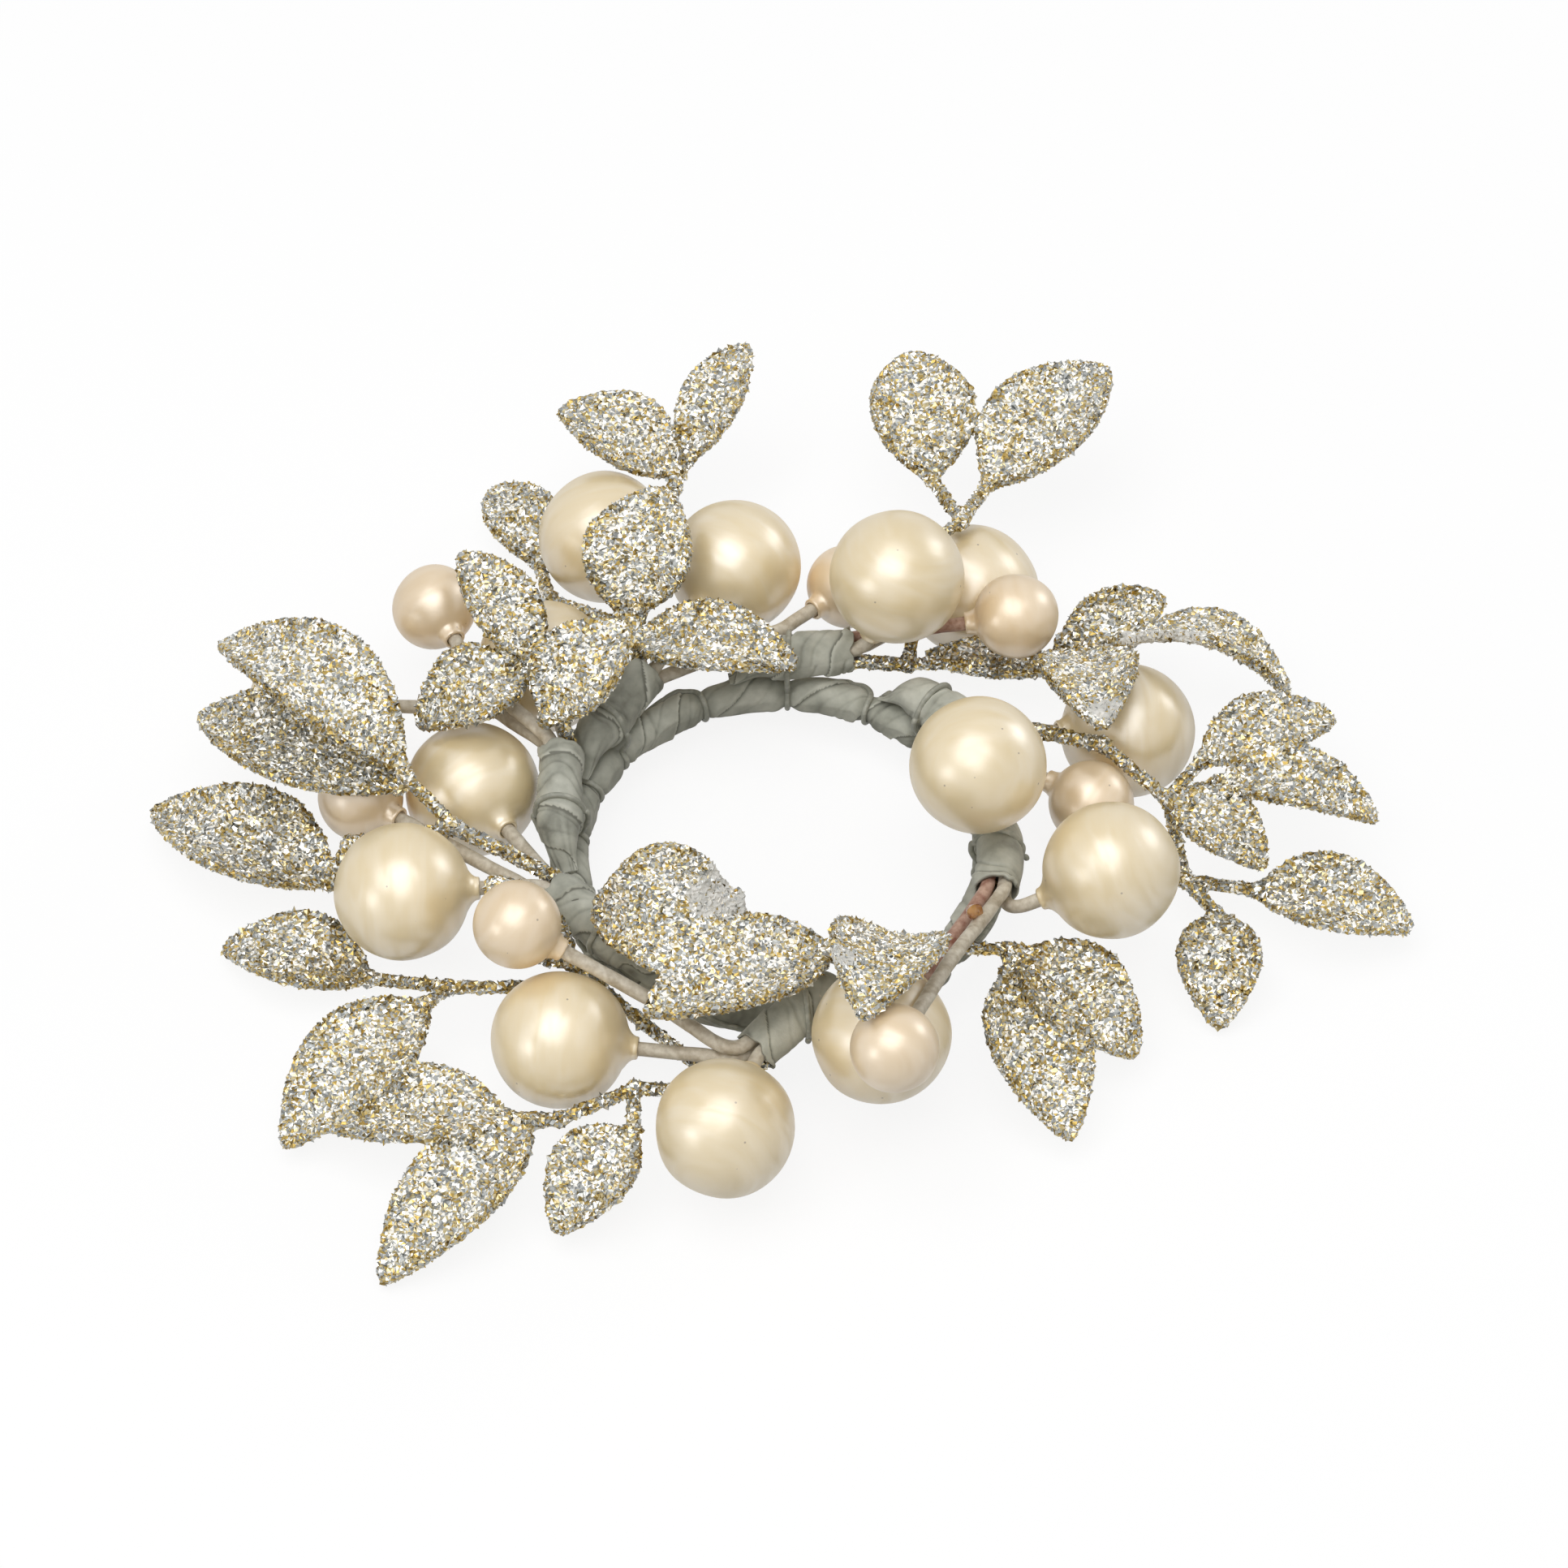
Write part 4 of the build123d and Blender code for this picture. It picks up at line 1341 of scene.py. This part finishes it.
@dataclass
class Pick:
    """A bunch: its tape, three pearls on stems and a spray of leaves."""
    name: str
    seed: int
    stained_stem: str = ""
    stem_radius_mm: float = 0.4
    stem_spacing_mm: float = 0.3
    stem_lead_mm: float = 2.4
    stem_lap_mm: float = 0.018
    stem_wander_mm: float = 0.012

    def build(self, finishes: dict[Look, bpy.types.Material]) -> None:
        """Builds the bunch.

        Args:
            finishes: Materials by finish.
        """
        PickTape(self.name, self.seed).build(finishes[Look.TAPE])
        for index, pearl in enumerate(PEARLS):
            node = self.name + "_pick_" + pearl
            small = pearl == "small_pearl"
            slot = Slot.SMALL_PEARL if small else Slot.LARGE_PEARL
            lacquer = finishes[Look.SMALL_PEARL if small else Look.LARGE_PEARL]
            paper = finishes[Look.STAINED_STEM if pearl == self.stained_stem else Look.STEM]
            Pearl(node, slot, self.seed + index).build(lacquer)
            Strand(node + "_paper_stem", node + "_stem", self.stem_radius_mm, Slot.PAPER_STEM,
                   self.seed + 10 + index, self.stem_spacing_mm, lead_mm=self.stem_lead_mm,
                   lap_mm=self.stem_lap_mm, wander_mm=self.stem_wander_mm).build(paper)
        leaves = LeafSpray(self.name, self.seed, bare=BARE_PATCHES.get(self.name, ()))
        leaves.build(finishes[Look.GLITTER], finishes[Look.FROSTED])


@dataclass
class GlueDrop:
    """A drop of glue run along a stem: a long uneven bead with a thin tail."""
    name: str
    place_mm: tuple[float, float, float]
    along_mm: tuple[float, float, float]
    seed: int
    radius_mm: float = 0.5
    length_mm: float = 1.5
    # How sharply the tail thins, and the share of the length before the drop's place.
    thinning: float = 0.8
    head: float = 0.35
    lumps: float = 0.12
    lump_wave_mm: float = 0.8
    upward: tuple[float, float, float] = (0.2, 0.1, 1.0)
    rows: int = 26
    around: int = 30

    def build(self, glue: bpy.types.Material) -> None:
        """Builds the drop.

        Args:
            glue: Material of the drop.
        """
        way = np.array(self.along_mm) / np.linalg.norm(self.along_mm)
        side = np.cross(way, self.upward)
        side /= np.linalg.norm(side)
        top = np.cross(way, side)
        gone = np.linspace(0, 1, self.rows)
        middles = np.array(self.place_mm) + way * ((gone - self.head) * self.length_mm)[:, None]
        share = gone[1:-1]
        width = 2 * self.radius_mm * np.sqrt(share) * (1 - share) ** self.thinning
        angle = even_angles(self.around)
        ring = np.cos(angle)[:, None] * side + np.sin(angle)[:, None] * top
        skin = middles[1:-1, None] + ring[None] * width[:, None, None]
        lump = Unevenness(self.seed, self.lump_wave_mm).at(skin.reshape(-1, 3)).reshape(skin.shape[:2])
        skin = middles[1:-1, None] + ring[None] * (width[:, None] * (1 + self.lumps * lump))[:, :, None]
        points = np.concatenate([skin.reshape(-1, 3), middles[:1], middles[-1:]])
        add_piece(self.name, points, tube_faces(len(share), self.around), [glue], [])


# Studio

@dataclass(frozen=True)
class Softbox:
    """A square soft light that faces the ring."""
    name: str
    toward: tuple[float, float, float]
    width_m: float
    power_w: float
    distance_m: float = 0.5

    def build(self) -> None:
        """Hangs the light."""
        way = Vector(self.toward).normalized()
        lamp = bpy.data.lights.new(self.name, "AREA")
        lamp.size = self.width_m
        lamp.energy = self.power_w
        holder = bpy.data.objects.new(self.name, lamp)
        holder.location = way * self.distance_m
        holder.rotation_euler = way.to_track_quat("Z", "Y").to_euler()
        bpy.context.scene.collection.objects.link(holder)


@dataclass
class Studio:
    """White floor, soft lights and the camera."""
    floor_half_m: float = 3.0
    camera_elevation_deg: float = 50.0
    camera_distance_m: float = 0.4
    aim_mm: tuple[float, float, float] = (0.18, 4.84, 0.0)
    lens_mm: float = 166.7
    sensor_mm: float = 36.0
    ambient: float = 0.3
    softboxes: tuple[Softbox, ...] = (
        Softbox("top_softbox", (-0.14, -0.26, 0.9), 0.46, 1.45),
        Softbox("right_softbox", (0.82, 0.5, 0.38), 0.17, 0.3),
        Softbox("left_softbox", (-0.8, -0.55, 0.32), 0.14, 0.22),
    )

    def floor(self, height: float) -> None:
        """Lays the floor.

        Args:
            height: Height of the floor in metres.
        """
        half = self.floor_half_m
        corners = [(-half, -half, height), (half, -half, height), (half, half, height), (-half, half, height)]
        mesh = bpy.data.meshes.new("studio_floor")
        mesh.from_pydata(corners, [], [(0, 1, 2, 3)])
        mesh.materials.append(FloorPaper().make())
        floor = bpy.data.objects.new("studio_floor", mesh)
        bpy.context.scene.collection.objects.link(floor)

    def surroundings(self) -> None:
        """Sets the light that comes from all round, and the white behind the ring."""
        world = bpy.data.worlds.new("studio")
        bpy.context.scene.world = world
        world.use_nodes = True
        tree = world.node_tree
        tree.nodes.clear()
        around = add_node(tree, "ShaderNodeBackground",
                          inputs={"Color": linear(WHITE), "Strength": self.ambient})
        white = add_node(tree, "ShaderNodeBackground", inputs={"Color": linear(WHITE), "Strength": 1.0})
        mixed = add_node(tree, "ShaderNodeMixShader",
                         links={"Fac": shows_background(tree), 1: around.outputs[0], 2: white.outputs[0]})
        add_node(tree, "ShaderNodeOutputWorld", links={"Surface": mixed.outputs[0]})

    def camera(self) -> None:
        """Sets the camera at the photograph's viewing angle."""
        rise = math.radians(self.camera_elevation_deg)
        back = Vector((0, -math.cos(rise), math.sin(rise)))
        lens = bpy.data.cameras.new("camera")
        lens.sensor_width = self.sensor_mm
        lens.lens = self.lens_mm
        holder = bpy.data.objects.new("camera", lens)
        holder.location = Vector(self.aim_mm) * MM + back * self.camera_distance_m
        holder.rotation_euler = back.to_track_quat("Z", "Y").to_euler()
        bpy.context.scene.collection.objects.link(holder)
        bpy.context.scene.camera = holder

    def build(self) -> None:
        """Sets up the studio."""
        self.floor(cad_low.z)
        self.surroundings()
        for softbox in self.softboxes:
            softbox.build()
        self.camera()
        bpy.context.scene.view_settings.view_transform = "Standard"


def main() -> None:
    """Builds the ring and its studio."""
    logging.basicConfig(level=logging.INFO, format="%(name)s %(message)s")
    finishes = {
        Look.TAPE: CrepeTape().make(),
        Look.WIRE: PaintedWire().make(),
        Look.STEEL: BareSteel().make(),
        Look.STEM: PaperStem("paper_wound_stem", pale="#e6decd", dark="#b9ac95").make(),
        Look.STAINED_STEM: PaperStem("stained_paper_stem", pale="#cbaa97", dark="#8f5d4c").make(),
        Look.GLITTER: GlitterCoat().make(),
        Look.FROSTED: FrostedPlastic().make(),
        Look.GLUE: AmberGlue().make(),
        Look.LARGE_PEARL: PearlLacquer("champagne_mica_lacquer", body="#f4deae", mica=WHITE).make(),
        Look.SMALL_PEARL: PearlLacquer("peach_mica_lacquer", body="#f4dab2", mica="#fffaf2").make(),
    }
    hoop_wire = frame["nodes"]["hoop_wire"]
    hoop_wire.data.materials.clear()
    hoop_wire.data.materials.append(finishes[Look.STEEL])
    HoopTape().build(finishes[Look.TAPE])
    for number, name in enumerate(PICKS):
        Pick(name, FIRST_SEED + SEED_STEP * number, STAINED_STEMS.get(name, "")).build(finishes)
    drop = GlueDrop("right_pick_glue_drop", place_mm=(10.35, -8.0, 4.72), along_mm=(-0.15, -0.8, 0.55),
                    seed=9)
    drop.build(finishes[Look.GLUE])
    tapes = ("hoop_crepe_tape", *(name + "_pick_crepe_tape" for name in PICKS))
    binding = Strand("binding_wire_painted", "binding_wire", radius_mm=0.16, slot=Slot.BINDING_WIRE, seed=5,
                     spacing_mm=0.2, around=14, drawn_onto=tapes)
    binding.build(finishes[Look.WIRE])
    Studio().build()


if __name__ == "__main__":
    main()
